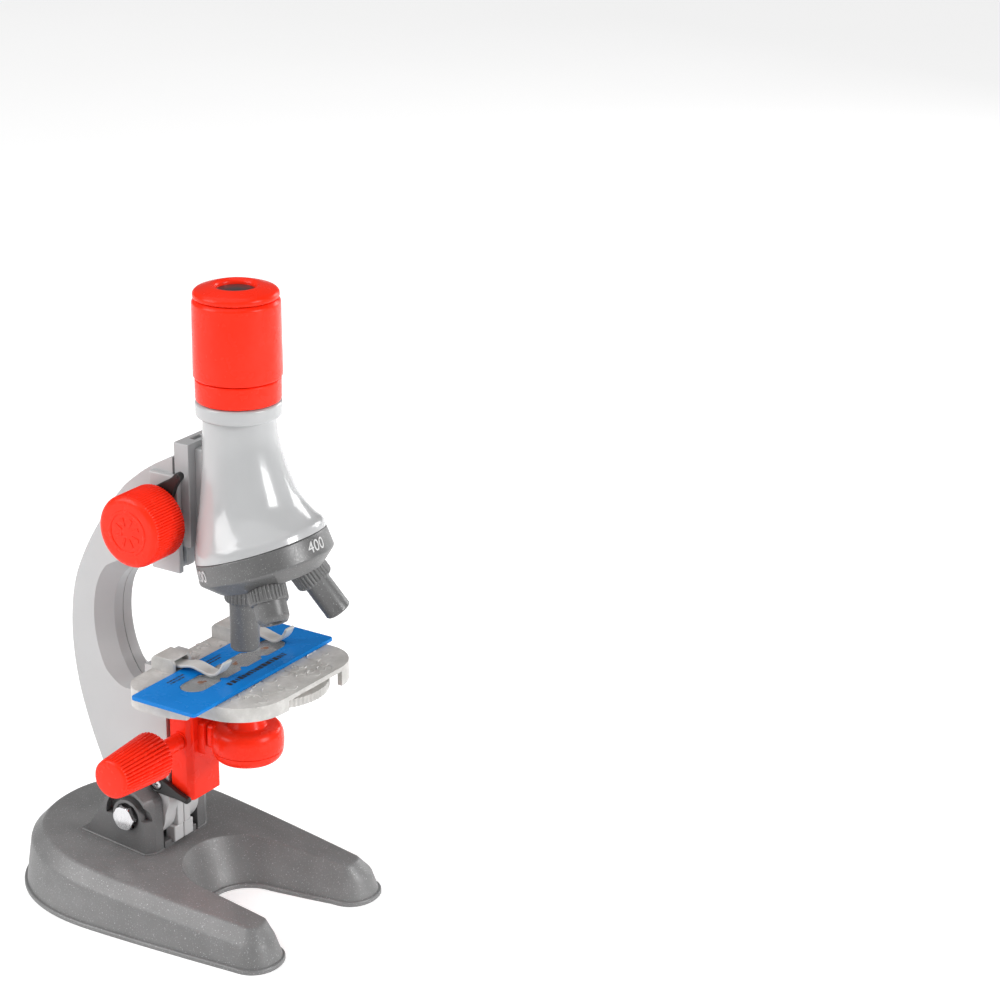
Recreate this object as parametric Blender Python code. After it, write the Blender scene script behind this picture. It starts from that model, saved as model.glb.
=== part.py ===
"""A child's desk microscope, built as separate parts that fit and move.

Lengths are millimetres and are turned into metres when a mesh is made. Heights (z) are
measured from the table. Distances y are measured backwards from the optical axis, and
add_part moves them into the part's frame, whose origin is the middle of the base's footprint.
The front of the microscope faces -Y and its focusing knobs point along X.
"""
import math

import bmesh
import bpy
from mathutils import Matrix, Vector

MM = 0.001
GAP = 0.3                      # clearance between neighbouring parts
AXIS_Y = -28.0                 # the optical axis, in the part's frame

# base
BASE_REAR = 88.0
BASE_FRONT = -32.0
BASE_HALF_WIDTH = 42.5
PRONG_OUTER = 38.2
BASE_TOP_AT_AXIS = 15.3
BASE_TOP_SLOPE = 0.085
BASE_BEVEL = 5.0
BASE_WALL = 2.2
EAR_INNER = 9.3
EAR_OUTER = 16.8
EAR_RADIUS = 11.2
EAR_FRONT = 30.4

# tilt hinge between the base and the arm
HINGE_Y = 40.0
HINGE_Z = 31.0
HUB_RADIUS = 10.6
BOLT_RADIUS = 2.5

# arm
ARM_HALF = 9.0
ARM_BEVEL = 4.5
HEAD_HALF = 11.0
HEAD_FRONT = 20.9
HEAD_BACK = 29.4
HEAD_BOTTOM = 123.2
HEAD_TOP = 156.9
SLIDE_HALF = 8.5                 # half width of the focusing slide
CHEEK_FRONT = 17.6               # the head's two cheeks reach forward beside the focusing slide
ARM_FRONT = 27.6               # front face of the arm below the stage

# focusing drive
FOCUS_Y = 24.0
FOCUS_Z = 142.0
FOCUS_PINION_RADIUS = 4.0
FOCUS_KNOB_RADIUS = 12.3
FOCUS_KNOB_INNER = 14.0
FOCUS_KNOB_OUTER = 29.2

# tube, nosepiece and eyepiece
NECK_RADIUS = 11.8
NECK_TOP = 178.7
TILT = math.radians(20.0)      # turret axis from the vertical, leaning forwards
APEX_Z = 156.3                 # where the turret axis crosses the optical axis
RIM_DISTANCE = 21.8            # apex to the rim plane of the body tube, along the turret axis
RIM_RADIUS = 22.2
TUBE_WALL = 2.0
EYEPIECE_RADIUS = 14.2

# stage
STAGE_TOP = 88.4
STAGE_PLATE = 2.0
SKIRT_BOTTOM = 81.5
LOBE_BOTTOM = 83.4               # the skirt is lower in height around the front left lobe
SLIDE_THICKNESS = 1.4
WHEEL_X = 12.0
WHEEL_Y = -2.0
WHEEL_RADIUS = 19.0

# lamp and its carriage
LAMP_Z = 62.0                  # axis that the lamp turns over on
LAMP_RADIUS = 12.3
CARRIAGE_HALF = 8.6
CARRIAGE_FRONT = 18.0
CARRIAGE_BACK = 26.4
CARRIAGE_BOTTOM = 39.0
CARRIAGE_TOP = 75.0
LAMP_SHAFT_Y = 22.2
LAMP_SHAFT_Z = 61.0

TURRET_AXIS = Vector((0.0, -math.sin(TILT), -math.cos(TILT)))
APEX = Vector((0.0, 0.0, APEX_Z))
RIM_CENTRE = APEX + TURRET_AXIS * RIM_DISTANCE

# sides of the round shapes
LARGE = 24
MEDIUM = 16
SMALL = 12

X_AXIS = Vector((1.0, 0.0, 0.0))
Y_AXIS = Vector((0.0, 1.0, 0.0))
Z_AXIS = Vector((0.0, 0.0, 1.0))


# ---------------------------------------------------------------- materials

def make_material(name, colour, roughness, metallic=0.0):
    mat = bpy.data.materials.new(name)
    mat.use_nodes = True
    shader = mat.node_tree.nodes["Principled BSDF"]
    shader.inputs["Base Color"].default_value = (*colour, 1.0)
    shader.inputs["Roughness"].default_value = roughness
    shader.inputs["Metallic"].default_value = metallic
    return mat


# ---------------------------------------------------------------- mesh tools

def add_part(name, shape, mat, origin=(0.0, 0.0, 0.0)):
    """Make a named object from (points, faces), with its origin at the given place."""
    points, faces = shape
    base = Vector(origin)
    mesh = bpy.data.meshes.new(name)
    mesh.from_pydata([(Vector(p) - base) * MM for p in points], [], faces)
    bm = bmesh.new()
    bm.from_mesh(mesh)
    bmesh.ops.recalc_face_normals(bm, faces=bm.faces)
    bm.to_mesh(mesh)
    bm.free()
    mesh.shade_smooth()
    mesh.set_sharp_from_angle(angle=math.radians(35.0))
    if mat is not None:
        mesh.materials.append(mat)
    obj = bpy.data.objects.new(name, mesh)
    obj.location = (base + Vector((0.0, AXIS_Y, 0.0))) * MM
    bpy.context.collection.objects.link(obj)
    return obj


def combine(obj, shape, operation="DIFFERENCE"):
    """Cut a shape out of an object, or join it on, with a Boolean modifier."""
    count = len(obj.modifiers) + 1
    tool = add_part(f"{obj.name}_tool_{count}", shape, None)
    tool.hide_render = True
    tool.display_type = "WIRE"
    modifier = obj.modifiers.new(f"tool_{count}", "BOOLEAN")
    modifier.operation = operation
    modifier.solver = "EXACT"
    modifier.object = tool
    return obj


def join(obj, shape):
    return combine(obj, shape, "UNION")


def box(x0, x1, y0, y1, z0, z1):
    points = [(x, y, z) for z in (z0, z1) for y in (y0, y1) for x in (x0, x1)]
    faces = [(0, 1, 3, 2), (4, 6, 7, 5), (0, 4, 5, 1), (2, 3, 7, 6), (0, 2, 6, 4), (1, 5, 7, 3)]
    return points, faces


def loft(rings, wrap=False):
    """Join rings of equal length with quads; cap both ends unless the last joins the first."""
    count = len(rings[0])
    points = [p for ring in rings for p in ring]
    faces = []
    last = len(rings) if wrap else len(rings) - 1
    for i in range(last):
        here = i * count
        there = ((i + 1) % len(rings)) * count
        for j in range(count):
            k = (j + 1) % count
            faces.append((here + j, here + k, there + k, there + j))
    if not wrap:
        faces.append(tuple(range(count)))
        faces.append(tuple(reversed(range((len(rings) - 1) * count, len(rings) * count))))
    return points, faces


def prism_z(outline, z0, z1):
    return loft([[(x, y, z) for x, y in outline] for z in (z0, z1)])


def prism_x(outline, x0, x1):
    """Extrude an outline of (y, z) points along X."""
    return loft([[(x, y, z) for y, z in outline] for x in (x0, x1)])


def axis_frame(axis):
    """Two unit vectors square to the axis; the first is as near to +X as it can be."""
    axis = Vector(axis).normalized()
    near = X_AXIS if abs(axis.x) < 0.9 else Y_AXIS
    level = (near - axis * near.dot(axis)).normalized()
    return level, axis.cross(level)


def ring(centre, axis, radius, count, phase=0.0):
    level, other = axis_frame(axis)
    turns = [2.0 * math.pi * i / count + phase for i in range(count)]
    return [Vector(centre) + radius * (math.cos(a) * level + math.sin(a) * other) for a in turns]


def lathe(profile, base, axis, count=MEDIUM):
    """Turn a closed profile of (radius, distance along the axis) about an axis."""
    axis = Vector(axis).normalized()
    base = Vector(base)
    points = []
    starts = []
    for radius, along in profile:
        starts.append(len(points))
        centre = base + axis * along
        if radius < 1e-9:
            points.append(centre)
        else:
            points.extend(ring(centre, axis, radius, count))
    faces = []
    for i in range(len(profile)):
        j = (i + 1) % len(profile)
        a_pole = profile[i][0] < 1e-9
        b_pole = profile[j][0] < 1e-9
        if a_pole and b_pole:
            continue
        for k in range(count):
            m = (k + 1) % count
            a, a_next = (starts[i], starts[i]) if a_pole else (starts[i] + k, starts[i] + m)
            b, b_next = (starts[j], starts[j]) if b_pole else (starts[j] + k, starts[j] + m)
            if a_pole:
                faces.append((a, b_next, b))
            elif b_pole:
                faces.append((a, a_next, b))
            else:
                faces.append((a, a_next, b_next, b))
    return points, faces


def rod(radius, base, axis, length, count=SMALL):
    return lathe([(0.0, 0.0), (radius, 0.0), (radius, length), (0.0, length)], base, axis, count)


def tube(outer, inner, base, axis, length, count=MEDIUM):
    return lathe([(inner, 0.0), (outer, 0.0), (outer, length), (inner, length)], base, axis, count)


def arc(centre, radius, start, end, steps):
    """Points on an arc, in degrees, both ends included."""
    angles = [math.radians(start + (end - start) * i / steps) for i in range(steps + 1)]
    return [(centre[0] + radius * math.cos(a), centre[1] + radius * math.sin(a)) for a in angles]


def smooth_curve(knots, steps):
    """A Catmull-Rom curve through the knots."""
    ends = [2 * Vector(knots[0]) - Vector(knots[1])]
    ends.append(2 * Vector(knots[-1]) - Vector(knots[-2]))
    guide = [ends[0]] + [Vector(k) for k in knots] + [ends[1]]
    curve = []
    for i in range(1, len(guide) - 2):
        p0, p1, p2, p3 = guide[i - 1:i + 3]
        for s in range(steps):
            t = s / steps
            curve.append(0.5 * (2 * p1 + (p2 - p0) * t + (2 * p0 - 5 * p1 + 4 * p2 - p3) * t * t
                                + (3 * p1 - p0 - 3 * p2 + p3) * t ** 3))
    curve.append(guide[-2])
    return [tuple(p) for p in curve]


def push_out(curve, distance):
    """Move a curve to its left by a distance that fades in and out at its two ends."""
    moved = []
    last = len(curve) - 1
    for i, point in enumerate(curve):
        before = Vector(curve[max(i - 1, 0)])
        after = Vector(curve[min(i + 1, last)])
        along = (after - before).normalized()
        fade = min(1.0, 4.0 * i / last, 4.0 * (last - i) / last)
        left = Vector((-along.y, along.x))
        moved.append(tuple(Vector(point) + left * distance * fade))
    return moved


# ---------------------------------------------------------------- base

def base_top(y):
    return BASE_TOP_AT_AXIS + BASE_TOP_SLOPE * y


def base_outline(inset, gap_tip, gap_radius, gap_centre):
    """The horseshoe seen from above: a round rear, tapering sides and two round prongs."""
    side = BASE_HALF_WIDTH - inset
    rear = BASE_REAR - inset
    middle = 40.0
    half = []
    for i in range(8):
        a = math.radians(90.0 - 90.0 * i / 7)
        fullness = 0.9
        half.append((side * math.cos(a) ** fullness, middle + (rear - middle) * math.sin(a) ** fullness))
    outer = PRONG_OUTER - inset
    half.append((0.35 * side + 0.65 * outer, 5.0))
    front = BASE_FRONT + inset
    tip_start = -21.0
    mid_x = (outer + gap_tip) / 2.0
    half_x = (outer - gap_tip) / 2.0
    for i in range(8):
        a = math.radians(180.0 * i / 7)
        x = mid_x + half_x * math.cos(a)
        half.append((x, tip_start + (front - tip_start) * math.sin(a) ** 0.8))
    for i in range(6):
        a = math.radians(90.0 * i / 5)
        half.append((gap_radius * math.cos(a), gap_centre + gap_radius * math.sin(a)))
    half[0] = (0.0, rear)
    half[-1] = (0.0, gap_centre + gap_radius)
    mirrored = [(-x, y) for x, y in reversed(half[1:-1])]
    return half + mirrored


def base_section(inset, gap, height):
    outline = base_outline(inset, *gap)
    return [(x, y, height(y) if callable(height) else height) for x, y in outline]


def ear_outline(front_limit, radius):
    """Side view of one hinge ear: an upright front, a round top and a sloping rear."""
    bottom = 14.0
    top = arc((HINGE_Y, HINGE_Z), radius, 34.0, 180.0, 10)
    points = [(62.5, bottom), (60.2, 18.0)] + top + [(HINGE_Y - radius, bottom)]
    return [(max(y, front_limit), z) for y, z in points]


def build_base(mats):
    floor_gap = (17.2, 13.2, 2.0)
    bevel_gap = (20.0, 18.0, 3.5)
    top_gap = (21.8, 20.2, 4.2)
    rings = [
        base_section(0.0, floor_gap, 0.0),
        base_section(0.0, floor_gap, 1.6),
        base_section(1.0, (18.0, 14.0, 2.1), 2.0),
        base_section(3.0, bevel_gap, lambda y: base_top(y) - BASE_BEVEL),
        base_section(7.4, top_gap, base_top),
    ]
    shell = add_part("base_shell", loft(rings), mats["base_grey"])
    wall = BASE_WALL
    pocket = [
        base_section(wall, (17.2 + wall, 13.2 + wall, 2.0), -1.0),
        base_section(wall, (17.2 + wall, 13.2 + wall, 2.0), 1.5 + GAP),
        base_section(wall + 1.2, (18.4 + wall, 14.6 + wall, 2.1), 2.6),
        base_section(wall + 3.2, (20.4 + wall, 18.4 + wall, 3.5), lambda y: base_top(y) - BASE_BEVEL - 1.4),
        base_section(wall + 7.4, (22.4 + wall, 20.8 + wall, 4.2), lambda y: base_top(y) - wall),
    ]
    for side in (-1, 1):
        outlines = [
            (EAR_INNER, ear_outline(EAR_FRONT, EAR_RADIUS)),
            (EAR_INNER + 4.0, ear_outline(EAR_FRONT, EAR_RADIUS)),
            (EAR_OUTER, ear_outline(EAR_FRONT + 2.0, EAR_RADIUS - 0.9)),
        ]
        join(shell, loft([[(side * x, y, z) for y, z in line] for x, line in outlines]))
    combine(shell, loft(pocket))
    hinge = Vector((0.0, HINGE_Y, HINGE_Z))
    combine(shell, rod(BOLT_RADIUS + GAP, hinge - X_AXIS * 20, X_AXIS, 40))
    for side in (-1, 1):
        face = hinge + X_AXIS * side * EAR_OUTER
        combine(shell, rod(5.0, face - X_AXIS * side * 1.4, X_AXIS * side, 4))
        sector = arc((HINGE_Y, HINGE_Z), 9.0, 8.0, 172.0, 10) + arc((HINGE_Y, HINGE_Z), 6.2, 172.0, 8.0, 10)
        combine(shell, prism_x(sector, side * (EAR_OUTER - 3.0), side * (EAR_OUTER + 2.0)))

    inset = wall + GAP
    cover_outline = base_outline(inset, 17.2 + inset, 13.2 + inset, 2.0)
    cover = add_part("base_bottom_cover", prism_z(cover_outline, 0.0, 1.5), mats["base_grey"])
    places = {"front_left": (-28.0, -14.0), "front_right": (28.0, -14.0), "rear": (0.0, 70.0)}
    for place, (x, y) in places.items():
        top = base_top(y) - wall
        post = tube(3.4, 1.3, (x, y, 1.5 + GAP), Z_AXIS, top - 1.5 - GAP + 0.6, SMALL)
        join(shell, post)
        combine(cover, rod(1.4, (x, y, -1.0), Z_AXIS, 4.0))
        combine(cover, rod(2.9, (x, y, -1.0), Z_AXIS, 1.9))
        screw = lathe([(0, 0.1), (2.6, 0.1), (2.3, 0.8), (1.0, 0.85), (1.0, 8.0), (0, 8.0)],
                      (x, y, 0.0), Z_AXIS, SMALL)
        add_part(f"base_cover_screw_{place}", screw, mats["steel"])

    head = ring(hinge - X_AXIS * (EAR_OUTER + 2.2), X_AXIS, 4.6, 6, math.radians(20.0))
    head_end = ring(hinge - X_AXIS * (EAR_OUTER - 1.4 + GAP), X_AXIS, 4.6, 6, math.radians(20.0))
    bolt = add_part("tilt_bolt", loft([head, head_end]), mats["chrome"], hinge)
    join(bolt, rod(BOLT_RADIUS, hinge - X_AXIS * (EAR_OUTER - 0.6), X_AXIS, 2 * EAR_OUTER + 2.0))
    nut_ends = [ring(hinge + X_AXIS * x, X_AXIS, 4.6, 6) for x in (EAR_OUTER - 1.4 + GAP, EAR_OUTER + 1.8)]
    nut = add_part("tilt_nut", loft(nut_ends), mats["chrome"], hinge)
    combine(nut, rod(BOLT_RADIUS + GAP, hinge, X_AXIS, 30))


# ---------------------------------------------------------------- arm

def arm_outlines():
    """Side view of the arm: the full outline, and the one with its inner edge pushed back."""
    back_knots = [(HEAD_FRONT, 162.6), (27.6, 159.3), (35.3, 154.1), (43.4, 146.8), (53.1, 133.6),
                  (60.6, 120.8), (65.5, 108.0), (67.4, 92.0), (66.0, 75.0), (61.8, 59.0), (54.5, 40.0)]
    back = smooth_curve(back_knots, 2)
    hub = arc((HINGE_Y, HINGE_Z), HUB_RADIUS, 20.0, -180.0, 12)
    front = [(ARM_FRONT, 36.0), (ARM_FRONT, 77.3), (17.0, 77.3), (17.0, 86.1), (36.0, 86.1), (36.0, 78.5)]
    throat_knots = [(40.5, 75.2), (46.0, 78.5), (50.6, 87.5), (52.2, 99.0), (50.0, 110.5),
                    (43.5, 118.5), (35.0, HEAD_BOTTOM)]
    throat = smooth_curve(throat_knots, 3)
    corner = [(HEAD_FRONT, HEAD_BOTTOM)]
    full = back + hub + front + throat + corner
    bevelled = back + hub + front + push_out(throat, -5.2) + corner
    return full, bevelled


def guide_rail(side, y_neck, y_head, y_end, z0, z1):
    """One half of a T-shaped guide: a neck and a wider head in front of it."""
    neck = (side * 2.6, side * 4.4)
    head = (side * 2.6, side * 6.1)
    outline = [(neck[0], y_neck), (neck[1], y_neck), (neck[1], y_head), (head[1], y_head),
               (head[1], y_end), (head[0], y_end)]
    return prism_z(outline, z0, z1)


def rack(name, mat, y_root, y_tip, z0, z1, pitch, origin):
    """A toothed bar. Its teeth point from y_root to y_tip."""
    points = []
    back = y_root + (y_root - y_tip) * 0.9
    count = int((z1 - z0) / pitch)
    for i in range(count):
        z = z0 + i * pitch
        points += [(y_root, z), (y_tip, z + 0.25 * pitch), (y_tip, z + 0.6 * pitch), (y_root, z + 0.85 * pitch)]
    points += [(y_root, z1), (back, z1), (back, z0)]
    return add_part(name, prism_x(points, -2.2, 2.2), mat, origin)


def build_arm(mats):
    full, bevelled = arm_outlines()
    throat_line = smooth_curve([(33.0, 52.0), (44.0, 62.0), (56.0, 80.0), (59.5, 96.0), (57.5, 110.0),
                                (47.0, 126.0)], 2)
    hollow = push_out(throat_line, 3.6) + list(reversed(push_out(throat_line, -3.6)))
    hinge = Vector((0.0, HINGE_Y, HINGE_Z))
    for side, name in ((-1, "arm_left_shell"), (1, "arm_right_shell")):
        inner = 0.5 * GAP * side
        layers = [(inner, full), (side * (ARM_HALF - ARM_BEVEL), full), (side * ARM_HALF, bevelled)]
        shell = add_part(name, loft([[(x, y, z) for y, z in line] for x, line in layers]),
                         mats["arm_grey"], hinge)
        head = [(HEAD_FRONT, HEAD_BOTTOM), (HEAD_BACK, HEAD_BOTTOM), (HEAD_BACK, HEAD_TOP),
                (HEAD_FRONT, HEAD_TOP)]
        join(shell, prism_x(head, side * 1.0, side * HEAD_HALF))
        join(shell, box(side * (SLIDE_HALF + GAP), side * HEAD_HALF, CHEEK_FRONT, HEAD_FRONT + 0.5,
                        HEAD_BOTTOM, HEAD_TOP))
        join(shell, guide_rail(side, HEAD_FRONT + 0.5, HEAD_FRONT - 1.2, HEAD_FRONT - 2.6,
                               HEAD_BOTTOM + 1.2, HEAD_TOP - 0.6))
        join(shell, guide_rail(side, ARM_FRONT + 0.5, ARM_FRONT - 2.5, ARM_FRONT - 4.0, 36.5, 77.8))
        finger = box(inner, side * 5.0, 28.6, 33.0, 19.2, 25.0)
        join(shell, finger)
        combine(shell, prism_x(hollow, inner - side * 1.0, side * 6.4))
        gear_room = box(inner - side, side * 3.2, HEAD_FRONT - 3.5, 29.2, 136.8, 147.2)
        combine(shell, gear_room)
        slot = box(inner - side, side * 2.6, ARM_FRONT - 5.0, ARM_FRONT + 0.6, 20.0, 77.2)
        combine(shell, slot)
        tongue = box(inner - side, side * 2.6, HEAD_FRONT - 4.0, HEAD_FRONT + 0.6, 120.0, 165.0)
        combine(shell, tongue)
        combine(shell, rod(1.5 + GAP, (0, FOCUS_Y, FOCUS_Z), X_AXIS * side, 14.0))
        combine(shell, rod(BOLT_RADIUS + GAP, hinge - X_AXIS * side, X_AXIS * side, 14.0))
        for y, z in ((36.0, 136.0), (48.0, 48.0)):
            combine(shell, rod(1.3, (-6.0, y, z), X_AXIS, 16.0))
            if side > 0:
                combine(shell, rod(2.9, (ARM_HALF - 1.7, y, z), X_AXIS, 4.0))
    for name, y, z in (("arm_screw_upper", 36.0, 136.0), ("arm_screw_lower", 48.0, 48.0)):
        screw = lathe([(0, 0), (2.5, 0), (2.5, 0.8), (1.0, 1.3), (1.0, 13.6), (0, 13.6)],
                      (ARM_HALF - 0.1, y, z), -X_AXIS, SMALL)
        add_part(name, screw, mats["steel"], hinge)
    rack("lamp_rack", mats["arm_grey"], ARM_FRONT - 1.6, ARM_FRONT - 2.6, 37.0, 76.8, 1.8, hinge)


# ---------------------------------------------------------------- stage

def shrink(outline, distance):
    """Move every point of a closed outline inwards, square to its neighbours."""
    moved = []
    count = len(outline)
    for i, point in enumerate(outline):
        along = (Vector(outline[(i + 1) % count]) - Vector(outline[i - 1])).normalized()
        moved.append(tuple(Vector(point) + Vector((-along.y, along.x)) * distance))
    return moved


def stage_outline(inset):
    """Seen from above: a round-cornered rear, a fuller lobe on the right than on the left."""
    points = arc((25.0, 19.0), 9.0, 0.0, 90.0, 4)
    points += arc((-22.5, 18.7), 9.3, 90.0, 180.0, 4)
    points += [(-31.8, 12.0), (-31.2, 7.7), (-29.4, 2.5), (-28.0, -3.5), (-27.2, -9.5), (-25.6, -14.0),
               (-22.8, -18.0), (-19.2, -21.0), (-14.5, -22.9), (-9.0, -23.6)]
    points += arc((21.0, -11.2), 12.8, 270.0, 360.0, 6)
    return shrink(points, inset)


def strip(knots, thickness, x0, x1):
    """A flat strip of even thickness that follows a side-view line."""
    upper = []
    lower = []
    last = len(knots) - 1
    for i, point in enumerate(knots):
        along = (Vector(knots[min(i + 1, last)]) - Vector(knots[max(i - 1, 0)])).normalized()
        square = Vector((along.y, -along.x)) * thickness / 2.0
        upper.append(tuple(Vector(point) + square))
        lower.append(tuple(Vector(point) - square))
    return prism_x(upper + list(reversed(lower)), x0, x1)


def build_stage(mats):
    plate = add_part("stage_plate", prism_z(stage_outline(0.0), SKIRT_BOTTOM, STAGE_TOP),
                     mats["stage_grey"], (0, HINGE_Y, HINGE_Z))
    under = STAGE_TOP - STAGE_PLATE
    combine(plate, prism_z(stage_outline(1.8), SKIRT_BOTTOM - 1.0, under))
    combine(plate, box(-40.0, -7.8, -26.0, 2.0, SKIRT_BOTTOM - 1.0, LOBE_BOTTOM))
    combine(plate, rod(4.5, (0, 0, 80), Z_AXIS, 20, MEDIUM))
    combine(plate, box(-7.8, 21.0, -26.0, -16.0, SKIRT_BOTTOM - 1.0, under + 0.4))
    combine(plate, box(-ARM_HALF - GAP, ARM_HALF + GAP, 15.0, 40.0, SKIRT_BOTTOM - 1.0, under))
    for x0, x1 in ((-15.2, -6.2), (17.0, 28.0)):
        outline = [(28.0, STAGE_TOP - 1.0), (28.0, 92.4), (26.8, 93.6), (19.4, 93.6), (18.2, 92.4),
                   (18.2, STAGE_TOP - 1.0)]
        join(plate, prism_x(outline, x0, x1))
        combine(plate, box(x0 + 1.2, x1 - 1.2, 15.0, 27.2, 89.2, 92.8))
    combine(plate, rod(1.3, (WHEEL_X, WHEEL_Y, 80), Z_AXIS, 20))

    for name, x0 in (("stage_clip_left", -13.6), ("stage_clip_right", 20.6)):
        knots = smooth_curve([(26.4, 90.8), (21.0, 90.8), (17.0, 91.2), (12.5, 92.2), (8.4, 91.5),
                              (5.2, 90.9), (2.5, 91.7), (0.5, 93.8), (-0.8, 96.4)], 2)
        add_part(name, strip(knots, 1.0, x0, x0 + 5.8), mats["clip_grey"], (0, 25.0, 90.8))

    wheel = add_part("condenser_wheel",
                     lathe([(1.6, 2.0), (WHEEL_RADIUS - 2.0, 2.0), (WHEEL_RADIUS - 2.0, 0.0),
                            (WHEEL_RADIUS, 0.0), (WHEEL_RADIUS, 3.4), (1.6, 3.4)],
                           (WHEEL_X, WHEEL_Y, 79.2), Z_AXIS, LARGE),
                     mats["stage_grey"], (WHEEL_X, WHEEL_Y, 80.0))
    radius = math.hypot(WHEEL_X, WHEEL_Y)
    start = math.atan2(-WHEEL_Y, -WHEEL_X)
    for i, hole in enumerate((4.2, 3.4, 2.7, 2.0, 1.4)):
        a = start + 2.0 * math.pi * i / 5
        centre = (WHEEL_X + radius * math.cos(a), WHEEL_Y + radius * math.sin(a), 78.0)
        combine(wheel, rod(hole, centre, Z_AXIS, 8.0))
    screw = lathe([(0, 0), (2.8, 0), (2.8, 1.2), (1.0, 1.2), (1.0, 5.6), (0, 5.6)],
                  (WHEEL_X, WHEEL_Y, 79.8), Z_AXIS, SMALL)
    add_part("wheel_pivot_screw", screw, mats["steel"], (0, HINGE_Y, HINGE_Z))

    z0 = STAGE_TOP + 0.1
    z1 = z0 + SLIDE_THICKNESS
    slide = add_part("specimen_slide", box(-38.6, 37.4, -8.8, 17.4, z0, z1), mats["slide_blue"], (0, 4, z0))
    window = arc((21.0, 5.2), 4.6, -90.0, 90.0, 6) + arc((-21.0, 5.2), 4.6, 90.0, 270.0, 6)
    combine(slide, prism_z(window, z0 - 1.0, z1 + 1.0))
    pane = arc((21.0, 5.2), 4.6 - GAP, -90.0, 90.0, 6) + arc((-21.0, 5.2), 4.6 - GAP, 90.0, 270.0, 6)
    add_part("slide_window", prism_z(pane, z0, z1 - 0.3), mats["clear"], (0, 4, z0))


# ---------------------------------------------------------------- body tube

def bell_sections(grow):
    """Circles that lead from the upright neck to the tilted rim, grown by a distance."""
    # height, distance forwards of the optical axis, radius, lean in degrees
    stations = [(NECK_TOP, 0.0, NECK_RADIUS, 0.0), (170.5, 0.4, 12.4, 0.0), (162.3, 1.4, 13.6, 2.5),
                (155.5, 2.4, 14.9, 6.0), (150.1, 3.3, 16.3, 8.5), (145.9, 4.3, 18.0, 11.5),
                (141.9, 5.8, 19.9, 14.0), (138.9, 6.8, 21.5, 18.0)]
    sections = []
    for height, forwards, radius, lean in stations:
        angle = math.radians(lean)
        axis = Vector((0.0, -math.sin(angle), -math.cos(angle)))
        sections.append((Vector((0.0, -forwards, height)), axis, radius + grow))
    sections.append((RIM_CENTRE, TURRET_AXIS, RIM_RADIUS + grow))
    return sections


def bell(grow, count=LARGE):
    return [ring(c, a, r, count) for c, a, r in bell_sections(grow)]


def build_tube(mats):
    outer = bell(0.0)
    inner = list(reversed(bell(-TUBE_WALL)))
    body = add_part("body_tube", loft(outer + inner, wrap=True), mats["tube_grey"], (0, FOCUS_Y, FOCUS_Z))

    slide_front = 14.6
    slide_bottom = 132.0
    slide_top = 167.7
    slide = add_part("focus_slide", box(-SLIDE_HALF, SLIDE_HALF, slide_front, HEAD_FRONT - GAP, slide_bottom,
                                        slide_top), mats["tube_grey"], (0, FOCUS_Y, FOCUS_Z))
    join(slide, box(-5.2, 5.2, 8.0, slide_front + 1.0, slide_bottom + 3.0, slide_top - 2.0))
    combine(slide, loft(bell(GAP)))
    slot = [(-6.1 - GAP, HEAD_FRONT - 2.6 - GAP), (6.1 + GAP, HEAD_FRONT - 2.6 - GAP),
            (6.1 + GAP, HEAD_FRONT - 1.2 + GAP), (4.4 + GAP, HEAD_FRONT - 1.2 + GAP),
            (4.4 + GAP, HEAD_FRONT + 1.0), (-4.4 - GAP, HEAD_FRONT + 1.0),
            (-4.4 - GAP, HEAD_FRONT - 1.2 + GAP), (-6.1 - GAP, HEAD_FRONT - 1.2 + GAP)]
    combine(slide, prism_z(slot, 120.0, slide_top - 1.7))
    combine(slide, box(-2.6, 2.6, 16.4, 18.6, slide_top - 2.4, slide_top + 1.0))
    rack("focus_rack", mats["tube_grey"], 19.0, 19.7, slide_bottom + 0.4, slide_top - 2.2, 2.0,
         (0, FOCUS_Y, FOCUS_Z))

    collar = [(11.0, 0.0), (13.6, 0.0), (14.0, 0.6), (14.0, 4.4), (13.6, 4.9), (11.0, 4.9)]
    add_part("tube_collar", lathe(collar, (0, 0, NECK_TOP + GAP), Z_AXIS, LARGE), mats["tube_grey"],
             (0, FOCUS_Y, FOCUS_Z))
    seat_z = NECK_TOP + 4.9 + 2 * GAP
    seat = [(8.7, -14.0), (9.5, -14.0), (9.5, 0.0), (13.7, 0.0), (13.9, 7.4), (11.7, 7.4), (11.7, 22.0),
            (10.2, 22.0), (10.2, 1.0), (8.7, 1.0)]
    add_part("eyepiece_seat", lathe(seat, (0, 0, seat_z), Z_AXIS, LARGE), mats["red"], (0, FOCUS_Y, FOCUS_Z))
    field = [(0, 0.0), (9.9, 1.0), (9.9, 2.2), (0, 3.4)]
    field_z = seat_z + 1.0 + GAP
    add_part("field_lens", lathe(field, (0, 0, field_z), Z_AXIS, MEDIUM), mats["clear"], (0, FOCUS_Y, FOCUS_Z))

    plate_top = RIM_DISTANCE - 2.4
    nose_centre = APEX + TURRET_AXIS * plate_top
    nose = add_part("nose_plate", rod(RIM_RADIUS - TUBE_WALL - 2.8, nose_centre, TURRET_AXIS, 1.6, MEDIUM),
                    mats["base_grey"], (0, FOCUS_Y, FOCUS_Z))
    combine(nose, rod(4.6, (0, 0, 110), Z_AXIS, 30))
    combine(nose, rod(1.4, nose_centre - TURRET_AXIS * 2, TURRET_AXIS, 6))
    screw = lathe([(0, 0), (3.0, 0), (3.0, 1.2), (1.1, 1.2), (1.1, 16.0), (0, 16.0)],
                  APEX + TURRET_AXIS * 36.2, -TURRET_AXIS, SMALL)
    add_part("turret_pivot_screw", screw, mats["steel"], (0, FOCUS_Y, FOCUS_Z))


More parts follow.
